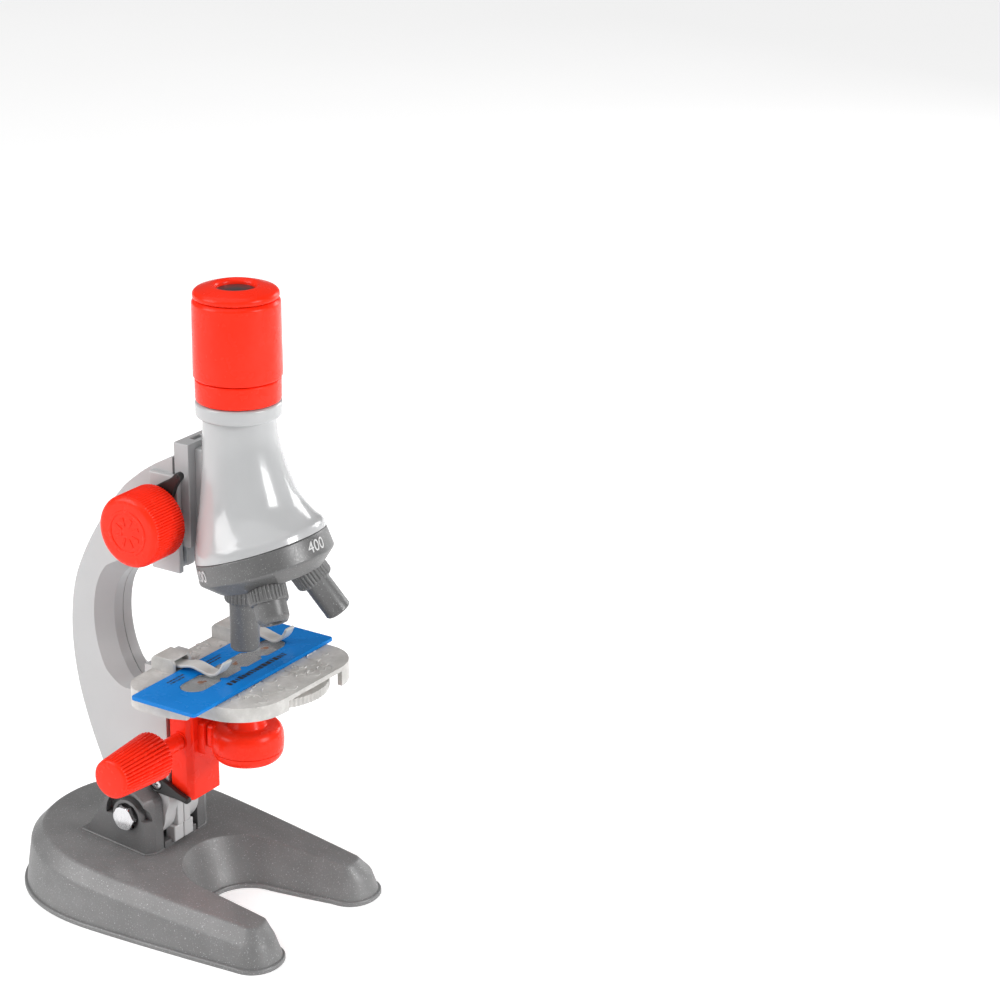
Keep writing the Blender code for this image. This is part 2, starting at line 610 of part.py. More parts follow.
def build_eyepiece(mats):
    bottom = NECK_TOP + 4.9 + 7.4 + 3 * GAP
    height = 217.7 - bottom
    barrel = [(12.0, 0.0), (14.2, 0.0), (EYEPIECE_RADIUS + 0.2, 1.0), (EYEPIECE_RADIUS, height - 0.6),
              (13.4, height), (9.0, height), (9.0, height - 1.6), (12.0, height - 1.6)]
    axis_at = (0, 0, bottom)
    add_part("eyepiece_barrel", lathe(barrel, axis_at, Z_AXIS, LARGE), mats["red"], axis_at)
    cap_z = bottom + height + GAP
    cap = [(6.4, 0.0), (13.6, 0.0), (13.9, 0.6), (13.8, 1.7), (12.9, 2.5), (8.8, 3.8), (7.6, 3.9), (6.4, 3.0)]
    add_part("eyepiece_cap", lathe(cap, (0, 0, cap_z), Z_AXIS, LARGE), mats["red"], axis_at)
    lens = [(0, -1.6), (8.2, -0.6), (8.2, 0.4), (0, 1.4)]
    lens_z = cap_z - GAP - 3.6
    add_part("eye_lens", lathe(lens, (0, 0, lens_z), Z_AXIS, MEDIUM), mats["clear"], axis_at)
    retainer = tube(11.6, 7.6, (0, 0, lens_z - 2.4), Z_AXIS, 1.4, MEDIUM)
    add_part("eye_lens_ring", retainer, mats["base_grey"], axis_at)


# ---------------------------------------------------------------- turret and objectives

def objective_axis(turn):
    """Direction of one objective: the vertical one, turned about the turret axis."""
    return Matrix.Rotation(turn, 3, TURRET_AXIS) @ Vector((0.0, 0.0, -1.0))


def build_turret(mats):
    rim = RIM_DISTANCE + GAP
    profile = [(1.4, 0.0), (RIM_RADIUS, 0.0), (RIM_RADIUS + 0.6, 6.6), (RIM_RADIUS + 0.2, 7.2), (17.4, 11.4),
               (3.6, 12.4), (1.4, 12.4)]
    turret = add_part("turret_disc", lathe(profile, APEX + TURRET_AXIS * rim, TURRET_AXIS, LARGE),
                      mats["base_grey"], RIM_CENTRE)
    # name: turn about the turret axis, barrel radius, tip distance from the apex, tip radius
    kinds = {
        "objective_high": (0.0, 4.9, 58.8, 4.6),
        "objective_medium": (math.radians(120.0), 4.5, 55.0, 4.3),
        "objective_low": (math.radians(-120.0), 5.4, 48.4, 4.7),
    }
    for name, (turn, radius, tip, tip_radius) in kinds.items():
        axis = objective_axis(turn)
        combine(turret, rod(4.2, APEX + axis * 20, axis, 30))
        combine(turret, rod(6.8, APEX + axis * 34.6, axis, 20, MEDIUM))
        body = [(3.0, 28.0), (3.9, 28.0), (3.9, 34.9), (6.1, 34.9), (6.5, 35.6), (6.5, 41.2), (6.1, 41.8),
                (radius, 41.8), (radius, tip - 0.8), (tip_radius, tip), (2.6, tip), (2.6, tip - 3.0),
                (3.0, tip - 3.0)]
        add_part(name, lathe(body, APEX, axis, MEDIUM), mats["base_grey"], RIM_CENTRE)
        lens = [(0, tip - 2.2), (2.3, tip - 1.8), (2.3, tip - 1.0), (0, tip - 0.5)]
        add_part(name + "_lens", lathe(lens, APEX, axis, SMALL), mats["clear"], RIM_CENTRE)


# ---------------------------------------------------------------- focusing shaft

def toothed(outer, root, teeth, base, axis, length):
    """A straight-toothed pinion."""
    level, other = axis_frame(axis)
    outline = []
    for i in range(teeth):
        for part, radius in ((0.0, root), (0.25, root), (0.4, outer), (0.75, outer), (0.9, root)):
            a = 2.0 * math.pi * (i + part) / teeth
            outline.append(Vector(base) + radius * (math.cos(a) * level + math.sin(a) * other))
    end = [p + Vector(axis) * length for p in outline]
    return loft([outline, end])


def build_focus_drive(mats):
    centre = Vector((0.0, FOCUS_Y, FOCUS_Z))
    add_part("focus_shaft", rod(1.5, centre - X_AXIS * 25.0, X_AXIS, 50.0), mats["steel"], centre)
    pinion = toothed(FOCUS_PINION_RADIUS, 3.2, 12, centre - X_AXIS * 2.4, X_AXIS, 4.8)
    pinion = add_part("focus_pinion", pinion, mats["base_grey"], centre)
    combine(pinion, rod(1.5 + GAP, centre - X_AXIS * 5, X_AXIS, 10))
    length = FOCUS_KNOB_OUTER - FOCUS_KNOB_INNER
    r = FOCUS_KNOB_RADIUS
    for side, name in ((-1, "focus_knob_left"), (1, "focus_knob_right")):
        profile = [(0, 11.6), (1.8, 11.6), (1.8, 0.0), (r - 1.2, 0.0), (r, 0.8), (r, length - 1.8),
                   (r - 0.5, length - 0.7), (r - 1.8, length), (0, length)]
        add_part(name, lathe(profile, centre + X_AXIS * side * FOCUS_KNOB_INNER, X_AXIS * side, LARGE),
                 mats["red"], centre)


# ---------------------------------------------------------------- lamp carriage and lamp

def build_carriage(mats):
    half = CARRIAGE_HALF
    front = CARRIAGE_FRONT
    back = CARRIAGE_BACK
    outline = [(-half, back), (-half, front + 1.8), (-half + 1.8, front), (half - 1.8, front),
               (half, front + 1.8), (half, back)]
    origin = (0, LAMP_SHAFT_Y, LAMP_SHAFT_Z)
    block = add_part("lamp_carriage", prism_z(outline, CARRIAGE_BOTTOM, CARRIAGE_TOP), mats["red"], origin)
    lug = [(-5.3, 57.2), (-4.1, 56.0), (4.1, 56.0), (5.3, 57.2), (5.3, 66.8), (4.1, 68.0), (-4.1, 68.0),
           (-5.3, 66.8)]
    join(block, loft([[(x, y, z) for x, z in lug] for y in (14.4, front + 1.0)]))
    neck_face = ARM_FRONT - 2.5
    channel = [(-6.1 - GAP, front + 1.6), (6.1 + GAP, front + 1.6), (6.1 + GAP, neck_face + GAP),
               (4.4 + GAP, neck_face + GAP), (4.4 + GAP, back + 1.0), (-4.4 - GAP, back + 1.0),
               (-4.4 - GAP, neck_face + GAP), (-6.1 - GAP, neck_face + GAP)]
    combine(block, prism_z(channel, CARRIAGE_BOTTOM - 1.0, CARRIAGE_TOP + 1.0))
    combine(block, rod(1.1 + GAP, (-12, LAMP_SHAFT_Y, LAMP_SHAFT_Z), X_AXIS, 24))
    combine(block, rod(2.0 + GAP, (0, 12.0, LAMP_Z), Y_AXIS, 7.0))


def build_lamp_knob(mats):
    centre = Vector((0.0, LAMP_SHAFT_Y, LAMP_SHAFT_Z))
    shaft = add_part("lamp_pinion_shaft", rod(1.1, centre - X_AXIS * 31.2, X_AXIS, 39.6), mats["red"], centre)
    join(shaft, toothed(2.4, 1.9, 10, centre - X_AXIS * 2.0, X_AXIS, 4.0))
    join(shaft, rod(2.6, centre - X_AXIS * 21.6, X_AXIS, 12.7))
    profile = [(0, 9.6), (1.4, 9.6), (1.4, 0.0), (7.6, 0.0), (8.4, 1.0), (6.9, 21.9), (6.2, 22.9), (0, 22.9)]
    add_part("lamp_knob", lathe(profile, centre - X_AXIS * 22.0, -X_AXIS, MEDIUM), mats["red"], centre)


def build_lamp(mats):
    pivot = (0.0, 13.0, LAMP_Z)
    seam = 61.4
    drum = [(0, 66.6), (4.6, 66.6), (2.3, 75.4), (2.3, 78.0), (3.4, 78.0), (6.4, 69.6), (6.9, 67.6), (9.6, 67.6),
            (9.8, 69.4), (10.8, 69.8), (11.6, 68.6), (LAMP_RADIUS - 0.1, 66.2), (LAMP_RADIUS, 64.0),
            (LAMP_RADIUS - 0.2, seam), (10.0, seam), (10.0, 65.6), (0, 65.6)]
    housing = add_part("lamp_housing", lathe(drum, (0, 0, 0), Z_AXIS, LARGE), mats["red"], pivot)
    combine(housing, rod(1.4, (0, 0, 60), Z_AXIS, 8.0))
    join(housing, rod(4.4, (0, 10.6, LAMP_Z + 0.9), Y_AXIS, 3.5))
    join(housing, rod(2.0, (0, 13.0, LAMP_Z), Y_AXIS, 4.4))
    bezel = [(8.6, 57.9), (9.8, 57.7), (11.0, 58.5), (11.8, 59.9), (LAMP_RADIUS - 0.3, seam - GAP),
             (8.6, seam - GAP)]
    bezel = add_part("lamp_bezel", lathe(bezel, (0, 0, 0), Z_AXIS, LARGE), mats["red"], pivot)
    combine(bezel, rod(4.4 + GAP, (0, 10.0, LAMP_Z + 0.9), Y_AXIS, 6.0))
    add_part("lamp_mirror", rod(8.3, (0, 0, 58.6), Z_AXIS, 1.0, MEDIUM), mats["mirror"], pivot)
    add_part("lamp_cell", rod(8.0, (0, 0, 60.8), Z_AXIS, 3.2, MEDIUM), mats["steel"], pivot)
    led = [(0, 67.2), (2.0, 67.2), (2.0, 72.4), (1.4, 73.8), (0, 74.4)]
    add_part("lamp_led", lathe(led, (0, 0, 0), Z_AXIS, SMALL), mats["clear"], pivot)
    lead = box(-0.5, 0.5, -0.3, 0.3, 64.8, 66.9)
    add_part("lamp_led_lead", lead, mats["steel"], pivot)


# ---------------------------------------------------------------- levers

def lever(name, screw_name, mats, root, tip, radii, x_face, hinge):
    """A pointer-shaped locking lever on a cross-head screw, flat against a side face."""
    root = Vector(root)
    tip = Vector(tip)
    root_radius, tip_radius = radii
    angle = math.degrees(math.atan2(tip.y - root.y, tip.x - root.x))
    outline = arc(root, root_radius, angle + 65.0, angle + 295.0, 10)
    outline += arc(tip, tip_radius, angle - 80.0, angle + 80.0, 4)
    x0 = x_face - GAP
    x1 = x0 - 2.2
    pivot = (x0, root.x, root.y)
    arm = add_part(name, prism_x(outline, x0, x1), mats["black"], pivot)
    combine(arm, rod(1.3, (x0 + 1, root.x, root.y), -X_AXIS, 6.0))
    combine(arm, rod(2.2, (x1 + 1.0, root.x, root.y), -X_AXIS, 3.0))
    screw = lathe([(0, 0), (1.9, 0), (1.9, 0.6), (1.0, 0.6), (1.0, 6.0), (0, 6.0)],
                  (x1 + 0.1, root.x, root.y), X_AXIS, SMALL)
    add_part(screw_name, screw, mats["steel"], hinge)


def build_levers(mats):
    hinge = (0, HINGE_Y, HINGE_Z)
    low_root = (31.2, 43.4)
    top_root = (23.0, 149.8)
    lever("lower_lever", "lower_lever_screw", mats, low_root, (18.4, 40.4), (3.2, 1.1), -ARM_HALF, hinge)
    lever("upper_lever", "upper_lever_screw", mats, top_root, (15.4, 158.1), (4.0, 1.4), -HEAD_HALF, hinge)
    for (y, z), x in ((low_root, -ARM_HALF), (top_root, -HEAD_HALF)):
        combine(bpy.data.objects["arm_left_shell"], rod(1.3, (x - 1.0, y, z), X_AXIS, 7.0))


def main():
    for obj in list(bpy.data.objects):
        bpy.data.objects.remove(obj, do_unlink=True)
    mats = {
        "base_grey": make_material("base_grey", (0.13, 0.13, 0.135), 0.45, 0.25),
        "arm_grey": make_material("arm_grey", (0.62, 0.63, 0.64), 0.4),
        "tube_grey": make_material("tube_grey", (0.55, 0.56, 0.57), 0.25),
        "stage_grey": make_material("stage_grey", (0.55, 0.55, 0.52), 0.4, 0.1),
        "clip_grey": make_material("clip_grey", (0.6, 0.6, 0.58), 0.35),
        "red": make_material("red", (0.75, 0.03, 0.02), 0.3),
        "black": make_material("black", (0.02, 0.02, 0.02), 0.4),
        "slide_blue": make_material("slide_blue", (0.01, 0.2, 0.6), 0.2),
        "chrome": make_material("chrome", (0.8, 0.8, 0.8), 0.12, 1.0),
        "steel": make_material("steel", (0.6, 0.6, 0.6), 0.3, 1.0),
        "mirror": make_material("mirror", (0.9, 0.9, 0.9), 0.03, 1.0),
        "clear": make_material("clear", (0.85, 0.9, 0.92), 0.05),
    }
    build_base(mats)
    build_arm(mats)
    build_stage(mats)
    build_tube(mats)
    build_eyepiece(mats)
    build_turret(mats)
    build_focus_drive(mats)
    build_carriage(mats)
    build_lamp_knob(mats)
    build_lamp(mats)
    build_levers(mats)


main()
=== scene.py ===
"""Looks of the toy microscope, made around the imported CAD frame.

Lengths are millimetres until a mesh is made. Distances y are measured backwards from the
optical axis, whose place comes from the frame, and heights z from the table.
"""
import math
import random

import bmesh
import bpy
from mathutils import Matrix, Vector


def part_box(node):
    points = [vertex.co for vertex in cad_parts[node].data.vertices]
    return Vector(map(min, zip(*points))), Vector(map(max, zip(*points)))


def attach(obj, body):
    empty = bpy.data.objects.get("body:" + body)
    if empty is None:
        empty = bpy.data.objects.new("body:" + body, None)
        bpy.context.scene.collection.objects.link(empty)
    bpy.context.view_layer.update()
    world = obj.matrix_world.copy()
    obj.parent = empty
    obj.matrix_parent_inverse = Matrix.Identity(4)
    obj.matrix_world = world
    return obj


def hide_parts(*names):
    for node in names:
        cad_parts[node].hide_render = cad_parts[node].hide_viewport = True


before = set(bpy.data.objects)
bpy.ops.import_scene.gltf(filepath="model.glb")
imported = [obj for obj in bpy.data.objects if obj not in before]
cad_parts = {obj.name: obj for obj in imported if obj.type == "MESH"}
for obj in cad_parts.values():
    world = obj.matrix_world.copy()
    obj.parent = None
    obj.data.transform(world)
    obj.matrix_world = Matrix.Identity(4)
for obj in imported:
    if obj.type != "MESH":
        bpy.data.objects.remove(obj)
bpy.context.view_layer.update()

MM = 0.001


def limits(node):
    """Lowest and highest corner of a CAD node, in millimetres, with y from the optical axis."""
    low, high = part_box(node)
    shift = Vector((0.0, AXIS_Y, 0.0))
    return Vector(low) / MM - shift, Vector(high) / MM - shift


CAP_LOW, CAP_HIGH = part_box("eyepiece_cap")
AXIS_Y = (CAP_LOW[1] + CAP_HIGH[1]) / 2.0 / MM

HINGE_Y = 40.0
HINGE_Z = 31.0
EAR_INNER = 9.3
EAR_OUTER = 16.8
EAR_RADIUS = 11.2
EAR_FRONT = 30.4
ARM_HALF = 9.0
ARM_BEVEL = 4.5
HEAD_HALF = 11.0
HEAD_FRONT = 20.9
HEAD_BACK = 29.4
HEAD_BOTTOM = 123.2
HEAD_TOP = 156.9
CHEEK_FRONT = 17.6
SLIDE_HALF = 8.5
ARM_FRONT = 27.6
FOCUS_Y = 24.0
FOCUS_Z = 142.0
TILT = math.radians(20.0)
APEX = Vector((0.0, 0.0, 156.3))
TURRET_AXIS = Vector((0.0, -math.sin(TILT), -math.cos(TILT)))
RIM_DISTANCE = 21.8
RIM_CENTRE = APEX + TURRET_AXIS * RIM_DISTANCE
RIM_RADIUS = 22.2
NECK_RADIUS = 11.8
NECK_TOP = 178.7
STAGE_TOP = 88.4
SKIRT_BOTTOM = 81.5
LOBE_BOTTOM = 83.4
LAMP_Z = 62.0
LAMP_SHAFT = Vector((0.0, 22.2, 61.0))
WHEEL = Vector((12.0, -2.0, 79.2))

X_AXIS = Vector((1.0, 0.0, 0.0))
Y_AXIS = Vector((0.0, 1.0, 0.0))
Z_AXIS = Vector((0.0, 0.0, 1.0))
ROUND = 96


# ---------------------------------------------------------------- materials

class Surface:
    """A material under construction: a Principled shader with helpers for its inputs."""

    def __init__(self, name, colour, roughness, metallic=0.0, coat=0.0):
        self.mat = bpy.data.materials.new(name)
        self.mat.use_nodes = True
        self.nodes = self.mat.node_tree.nodes
        self.links = self.mat.node_tree.links
        self.shader = self.nodes["Principled BSDF"]
        self.set("Base Color", (*colour, 1.0))
        self.set("Roughness", roughness)
        self.set("Metallic", metallic)
        self.set("Coat Weight", coat)
        self.colour = colour
        self.place = self.nodes.new("ShaderNodeTexCoord").outputs["Object"]
        self.height = None

    def set(self, name, value):
        self.shader.inputs[name].default_value = value

    def noise(self, scale, detail=3.0, roughness=0.55, stretch=None):
        node = self.nodes.new("ShaderNodeTexNoise")
        node.inputs["Scale"].default_value = scale
        node.inputs["Detail"].default_value = detail
        node.inputs["Roughness"].default_value = roughness
        source = self.place
        if stretch:
            mapping = self.nodes.new("ShaderNodeMapping")
            mapping.inputs["Scale"].default_value = stretch
            self.links.new(self.place, mapping.inputs["Vector"])
            source = mapping.outputs["Vector"]
        self.links.new(source, node.inputs["Vector"])
        return node.outputs["Fac"]

    def cells(self, scale):
        node = self.nodes.new("ShaderNodeTexVoronoi")
        node.feature = "F1"
        node.inputs["Scale"].default_value = scale
        self.links.new(self.place, node.inputs["Vector"])
        return node.outputs["Distance"]

    def spread(self, fac, low, high, out_low, out_high):
        node = self.nodes.new("ShaderNodeMapRange")
        node.inputs["From Min"].default_value = low
        node.inputs["From Max"].default_value = high
        node.inputs["To Min"].default_value = out_low
        node.inputs["To Max"].default_value = out_high
        self.links.new(fac, node.inputs["Value"])
        return node.outputs["Result"]

    def ramp(self, fac, stops):
        node = self.nodes.new("ShaderNodeValToRGB")
        ramp = node.color_ramp
        for i, (position, colour) in enumerate(stops):
            stop = ramp.elements[i] if i < 2 else ramp.elements.new(position)
            stop.position = position
            stop.color = (*colour, 1.0)
        self.links.new(fac, node.inputs["Fac"])
        return node.outputs["Color"]

    def mix(self, fac, first, second):
        node = self.nodes.new("ShaderNodeMix")
        node.data_type = "RGBA"
        node.blend_type = "MIX"
        self.links.new(fac, node.inputs[0])
        for socket, value in ((node.inputs[6], first), (node.inputs[7], second)):
            if isinstance(value, tuple):
                socket.default_value = (*value, 1.0)
            else:
                self.links.new(value, socket)
        return node.outputs[2]

    def link(self, output, name):
        self.links.new(output, self.shader.inputs[name])

    def bump(self, fac, strength, distance_mm):
        node = self.nodes.new("ShaderNodeBump")
        node.inputs["Strength"].default_value = strength
        node.inputs["Distance"].default_value = distance_mm * MM
        self.links.new(fac, node.inputs["Height"])
        if self.height is not None:
            self.links.new(self.height, node.inputs["Normal"])
        self.height = node.outputs["Normal"]
        self.links.new(self.height, self.shader.inputs["Normal"])


def moulded(name, colour, roughness, grain, depth, tint=0.06, coat=0.0):
    """Moulded plastic: slight cloudiness in colour and gloss, and a fine moulded grain."""
    s = Surface(name, colour, roughness, coat=coat)
    cloud = s.noise(60.0, 4.0)
    darker = tuple(c * (1.0 - tint) for c in colour)
    lighter = tuple(min(1.0, c * (1.0 + tint) + 0.004) for c in colour)
    s.link(s.ramp(cloud, [(0.3, darker), (0.7, lighter)]), "Base Color")
    s.link(s.spread(s.noise(220.0, 2.0), 0.3, 0.7, roughness - 0.04, roughness + 0.06), "Roughness")
    s.bump(s.noise(grain, 2.0), 0.35, depth)
    return s


def make_red():
    s = moulded("red_plastic", (0.90, 0.024, 0.006), 0.24, 900.0, 0.008, 0.03)
    s.set("Specular IOR Level", 0.17)
    return s.mat


def make_blue():
    s = moulded("slide_blue", (0.001, 0.18, 0.56), 0.24, 600.0, 0.004, 0.03)
    s.set("Specular IOR Level", 0.15)
    return s.mat


def make_flecked(name, base, roughness, amount):
    """Dark plastic filled with fine bright metal flecks, with a spark-eroded surface."""
    s = Surface(name, base, roughness)
    fleck = s.cells(1500.0)
    fine = s.noise(2200.0, 2.0)
    bright = tuple(min(1.0, c * 2.6 + 0.08) for c in base)
    dark = tuple(c * 0.82 for c in base)
    cloud = s.ramp(s.noise(45.0, 3.0), [(0.3, dark), (0.7, tuple(c * 1.12 for c in base))])
    grains = s.spread(fine, 0.62, 0.74, 0.0, amount)
    s.link(s.mix(grains, cloud, bright), "Base Color")
    s.link(s.spread(fleck, 0.0, 0.5, roughness - 0.1, roughness + 0.08), "Roughness")
    s.set("Metallic", 0.15)
    s.bump(s.noise(1400.0, 3.0), 0.5, 0.05)
    return s.mat


def make_stage():
    """Pearly warm grey with faint swirling flow lines."""
    base = (0.51, 0.50, 0.48)
    s = Surface("stage_pearl", base, 0.36)
    swirl = s.noise(170.0, 5.0, 0.7)
    pearl = s.ramp(swirl, [(0.35, (0.43, 0.42, 0.40)), (0.55, base), (0.72, (0.62, 0.61, 0.59))])
    s.link(pearl, "Base Color")
    s.link(s.spread(s.noise(500.0), 0.3, 0.7, 0.28, 0.46), "Roughness")
    s.bump(s.noise(420.0, 4.0, 0.65), 0.6, 0.2)
    s.bump(s.noise(1500.0, 2.0), 0.3, 0.03)
    return s.mat


def make_clear(name, tint, roughness=0.04):
    s = Surface(name, tint, roughness)
    s.set("Transmission Weight", 0.9)
    s.set("IOR", 1.49)
    s.link(s.spread(s.noise(300.0), 0.3, 0.7, roughness, roughness + 0.05), "Roughness")
    s.bump(s.noise(90.0, 2.0), 0.08, 0.05)
    return s.mat


def make_metal(name, colour, roughness, streak):
    s = Surface(name, colour, roughness, metallic=1.0)
    brushed = s.noise(streak, 3.0, stretch=(1.0, 6.0, 1.0))
    s.link(s.spread(brushed, 0.3, 0.7, max(0.02, roughness - 0.05), roughness + 0.08), "Roughness")
    s.link(s.ramp(s.noise(120.0), [(0.3, tuple(c * 0.9 for c in colour)), (0.7, colour)]), "Base Color")
    s.bump(brushed, 0.1, 0.01)
    return s.mat


def make_floor():
    s = Surface("studio_floor", (0.86, 0.86, 0.86), 0.6)
    s.link(s.ramp(s.noise(3.0), [(0.3, (0.85, 0.85, 0.85)), (0.7, (0.87, 0.87, 0.87))]), "Base Color")
    s.set("Emission Color", (1.0, 1.0, 1.0, 1.0))
    s.set("Emission Strength", 0.36)
    return s.mat


RED = make_red()
BASE_GREY = make_flecked("base_dark_grey", (0.18, 0.18, 0.18), 0.42, 0.7)
TURRET_GREY = make_flecked("turret_dark_grey", (0.13, 0.13, 0.13), 0.33, 0.7)
SMOOTH_GREY = make_flecked("ear_dark_grey", (0.135, 0.135, 0.136), 0.40, 0.3)
NUMBER_GREY = moulded("number_grey", (0.55, 0.55, 0.55), 0.4, 900.0, 0.02, 0.05).mat
ARM_GREY = moulded("arm_grey", (0.46, 0.463, 0.466), 0.42, 1300.0, 0.012, 0.015).mat
SLIDE_GREY = moulded("slide_grey", (0.42, 0.425, 0.43), 0.38, 1300.0, 0.012, 0.015).mat
TUBE_GREY = moulded("tube_grey", (0.43, 0.435, 0.44), 0.2, 700.0, 0.004, 0.015, 0.3).mat
STAGE_PEARL = make_stage()
CLIP_GREY = moulded("clip_grey", (0.56, 0.56, 0.54), 0.32, 800.0, 0.03, 0.03).mat
BLACK = moulded("black_plastic", (0.008, 0.008, 0.008), 0.42, 900.0, 0.03, 0.2).mat
BLUE = make_blue()
INK = moulded("printed_ink", (0.012, 0.014, 0.02), 0.45, 900.0, 0.01, 0.2).mat
CLEAR = make_clear("clear_plastic", (0.93, 0.95, 0.96))
LENS = make_clear("lens_glass", (0.55, 0.6, 0.66), 0.03)
# Painted shade: a near-black material for a disc that stands for the shade inside the eyepiece, seen
# through its lens.
EYEPIECE_PAINTED_SHADE = moulded("eyepiece_painted_shade", (0.03, 0.033, 0.034), 0.3, 300.0, 0.01, 0.1).mat
SPECIMEN = moulded("specimen_brown", (0.25, 0.12, 0.07), 0.5, 900.0, 0.03, 0.3).mat
CHROME = make_metal("bright_plating", (0.62, 0.62, 0.63), 0.12, 300.0)
STEEL = make_metal("plain_steel", (0.60, 0.60, 0.61), 0.28, 500.0)
MIRROR = make_metal("mirror_glass", (0.92, 0.93, 0.94), 0.03, 80.0)


# ---------------------------------------------------------------- mesh tools

def to_row(point):
    return (Vector(point) + Vector((0.0, AXIS_Y, 0.0))) * MM


def mesh_object(name, shape):
    """An object made from (points, faces), with its faces turned outwards."""
    points, faces = shape
    mesh = bpy.data.meshes.new(name)
    mesh.from_pydata([to_row(p) for p in points], [], faces)
    bm = bmesh.new()
    bm.from_mesh(mesh)
    bmesh.ops.recalc_face_normals(bm, faces=bm.faces)
    bm.to_mesh(mesh)
    bm.free()
    obj = bpy.data.objects.new(name, mesh)
    bpy.context.collection.objects.link(obj)
    return obj


def add_piece(name, shape, mat, body, replaced=(), bevel=0.0, segments=3, sharp=32.0):
    """Make a visible piece from (points, faces) and let it ride on a body of the frame."""
    obj = mesh_object(name, shape)
    mesh = obj.data
    mesh.materials.append(mat)
    mesh.shade_smooth()
    mesh.set_sharp_from_angle(angle=math.radians(sharp))
    if bevel:
        round_edges(obj, bevel, segments)
    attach(obj, body)
    if replaced:
        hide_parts(*replaced)
    return obj


def round_edges(obj, width, segments=3, angle=32.0):
    modifier = obj.modifiers.new("edges", "BEVEL")
    modifier.width = width * MM
    modifier.segments = segments
    modifier.limit_method = "ANGLE"
    modifier.angle_limit = math.radians(angle)
    modifier.harden_normals = False
    modifier.use_clamp_overlap = True
    smooth = obj.modifiers.new("shading", "WEIGHTED_NORMAL")
    smooth.keep_sharp = False
    for polygon in obj.data.polygons:
        polygon.use_smooth = True
    for edge in obj.data.edges:
        edge.use_edge_sharp = False


def combine(obj, shape):
    """Cut a shape out of an object at once, before its bevel."""
    tool = mesh_object("tool", shape)
    modifier = obj.modifiers.new("tool", "BOOLEAN")
    modifier.operation = "DIFFERENCE"
    modifier.solver = "EXACT"
    modifier.object = tool
    while obj.modifiers[0] != modifier:
        index = len(obj.modifiers) - 1
        obj.modifiers.move(index, 0)
    bpy.context.view_layer.update()
    graph = bpy.context.evaluated_depsgraph_get()
    kept = [m for m in obj.modifiers if m != modifier]
    shown = [m.show_viewport for m in kept]
    for m in kept:
        m.show_viewport = False
    graph.update()
    made = bpy.data.meshes.new_from_object(obj.evaluated_get(graph))
    for m, state in zip(kept, shown):
        m.show_viewport = state
    obj.modifiers.remove(modifier)
    obj.data = made
    bpy.data.objects.remove(tool, do_unlink=True)
    return obj


def box(x0, x1, y0, y1, z0, z1):
    points = [(x, y, z) for z in (z0, z1) for y in (y0, y1) for x in (x0, x1)]
    faces = [(0, 1, 3, 2), (4, 6, 7, 5), (0, 4, 5, 1), (2, 3, 7, 6), (0, 2, 6, 4), (1, 5, 7, 3)]
    return points, faces


def loft(rings, wrap=False):
    """Join rings of equal length with quads; cap both ends unless the last joins the first."""
    count = len(rings[0])
    points = [p for ring in rings for p in ring]
    faces = []
    last = len(rings) if wrap else len(rings) - 1
    for i in range(last):
        here = i * count
        there = ((i + 1) % len(rings)) * count
        for j in range(count):
            k = (j + 1) % count
            faces.append((here + j, here + k, there + k, there + j))
    if not wrap:
        faces.append(tuple(range(count)))
        faces.append(tuple(reversed(range((len(rings) - 1) * count, len(rings) * count))))
    return points, faces


def merge(*shapes):
    points = []
    faces = []
    for more_points, more_faces in shapes:
        start = len(points)
        points += list(more_points)
        faces += [tuple(i + start for i in face) for face in more_faces]
    return points, faces


def prism_z(outline, z0, z1):
    return loft([[(x, y, z) for x, y in outline] for z in (z0, z1)])


def prism_x(outline, x0, x1):
    return loft([[(x, y, z) for y, z in outline] for x in (x0, x1)])


def axis_frame(axis):
    """Two unit vectors square to the axis; the first is as near to +X as it can be."""
    axis = Vector(axis).normalized()
    near = X_AXIS if abs(axis.x) < 0.9 else Y_AXIS
    level = (near - axis * near.dot(axis)).normalized()
    return level, axis.cross(level)


def ring(centre, axis, radius, count=ROUND, wave=None):
    """A circle of points; wave(angle) is added to its radius."""
    level, other = axis_frame(axis)
    points = []
    for i in range(count):
        a = 2.0 * math.pi * i / count
        r = radius + (wave(a) if wave else 0.0)
        points.append(Vector(centre) + r * (math.cos(a) * level + math.sin(a) * other))
    return points


def lathe(profile, base, axis, count=ROUND, wave=None):
    """Turn a closed profile of (radius, distance, wave strength) about an axis."""
    axis = Vector(axis).normalized()
    base = Vector(base)
    points = []
    starts = []
    for row in profile:
        radius, along = row[0], row[1]
        strength = row[2] if len(row) > 2 else 0.0
        starts.append(len(points))
        centre = base + axis * along
        if radius < 1e-9:
            points.append(centre)
        elif strength and wave:
            points.extend(ring(centre, axis, radius, count, lambda a, s=strength: s * wave(a)))
        else:
            points.extend(ring(centre, axis, radius, count))
    faces = []
    for i in range(len(profile)):
        j = (i + 1) % len(profile)
        a_pole = profile[i][0] < 1e-9
        b_pole = profile[j][0] < 1e-9
        if a_pole and b_pole:
            continue
        for k in range(count):
            m = (k + 1) % count
            if a_pole:
                faces.append((starts[i], starts[j] + m, starts[j] + k))
            elif b_pole:
                faces.append((starts[i] + k, starts[i] + m, starts[j]))
            else:
                faces.append((starts[i] + k, starts[i] + m, starts[j] + m, starts[j] + k))
    return points, faces


def rod(radius, base, axis, length, count=48, edge=0.0):
    profile = [(0.0, 0.0), (radius - edge, 0.0), (radius, edge), (radius, length - edge),
               (radius - edge, length), (0.0, length)]
    if not edge:
        profile = [(0.0, 0.0), (radius, 0.0), (radius, length), (0.0, length)]
    return lathe(profile, base, axis, count)


def arc(centre, radius, start, end, steps):
    angles = [math.radians(start + (end - start) * i / steps) for i in range(steps + 1)]
    return [(centre[0] + radius * math.cos(a), centre[1] + radius * math.sin(a)) for a in angles]


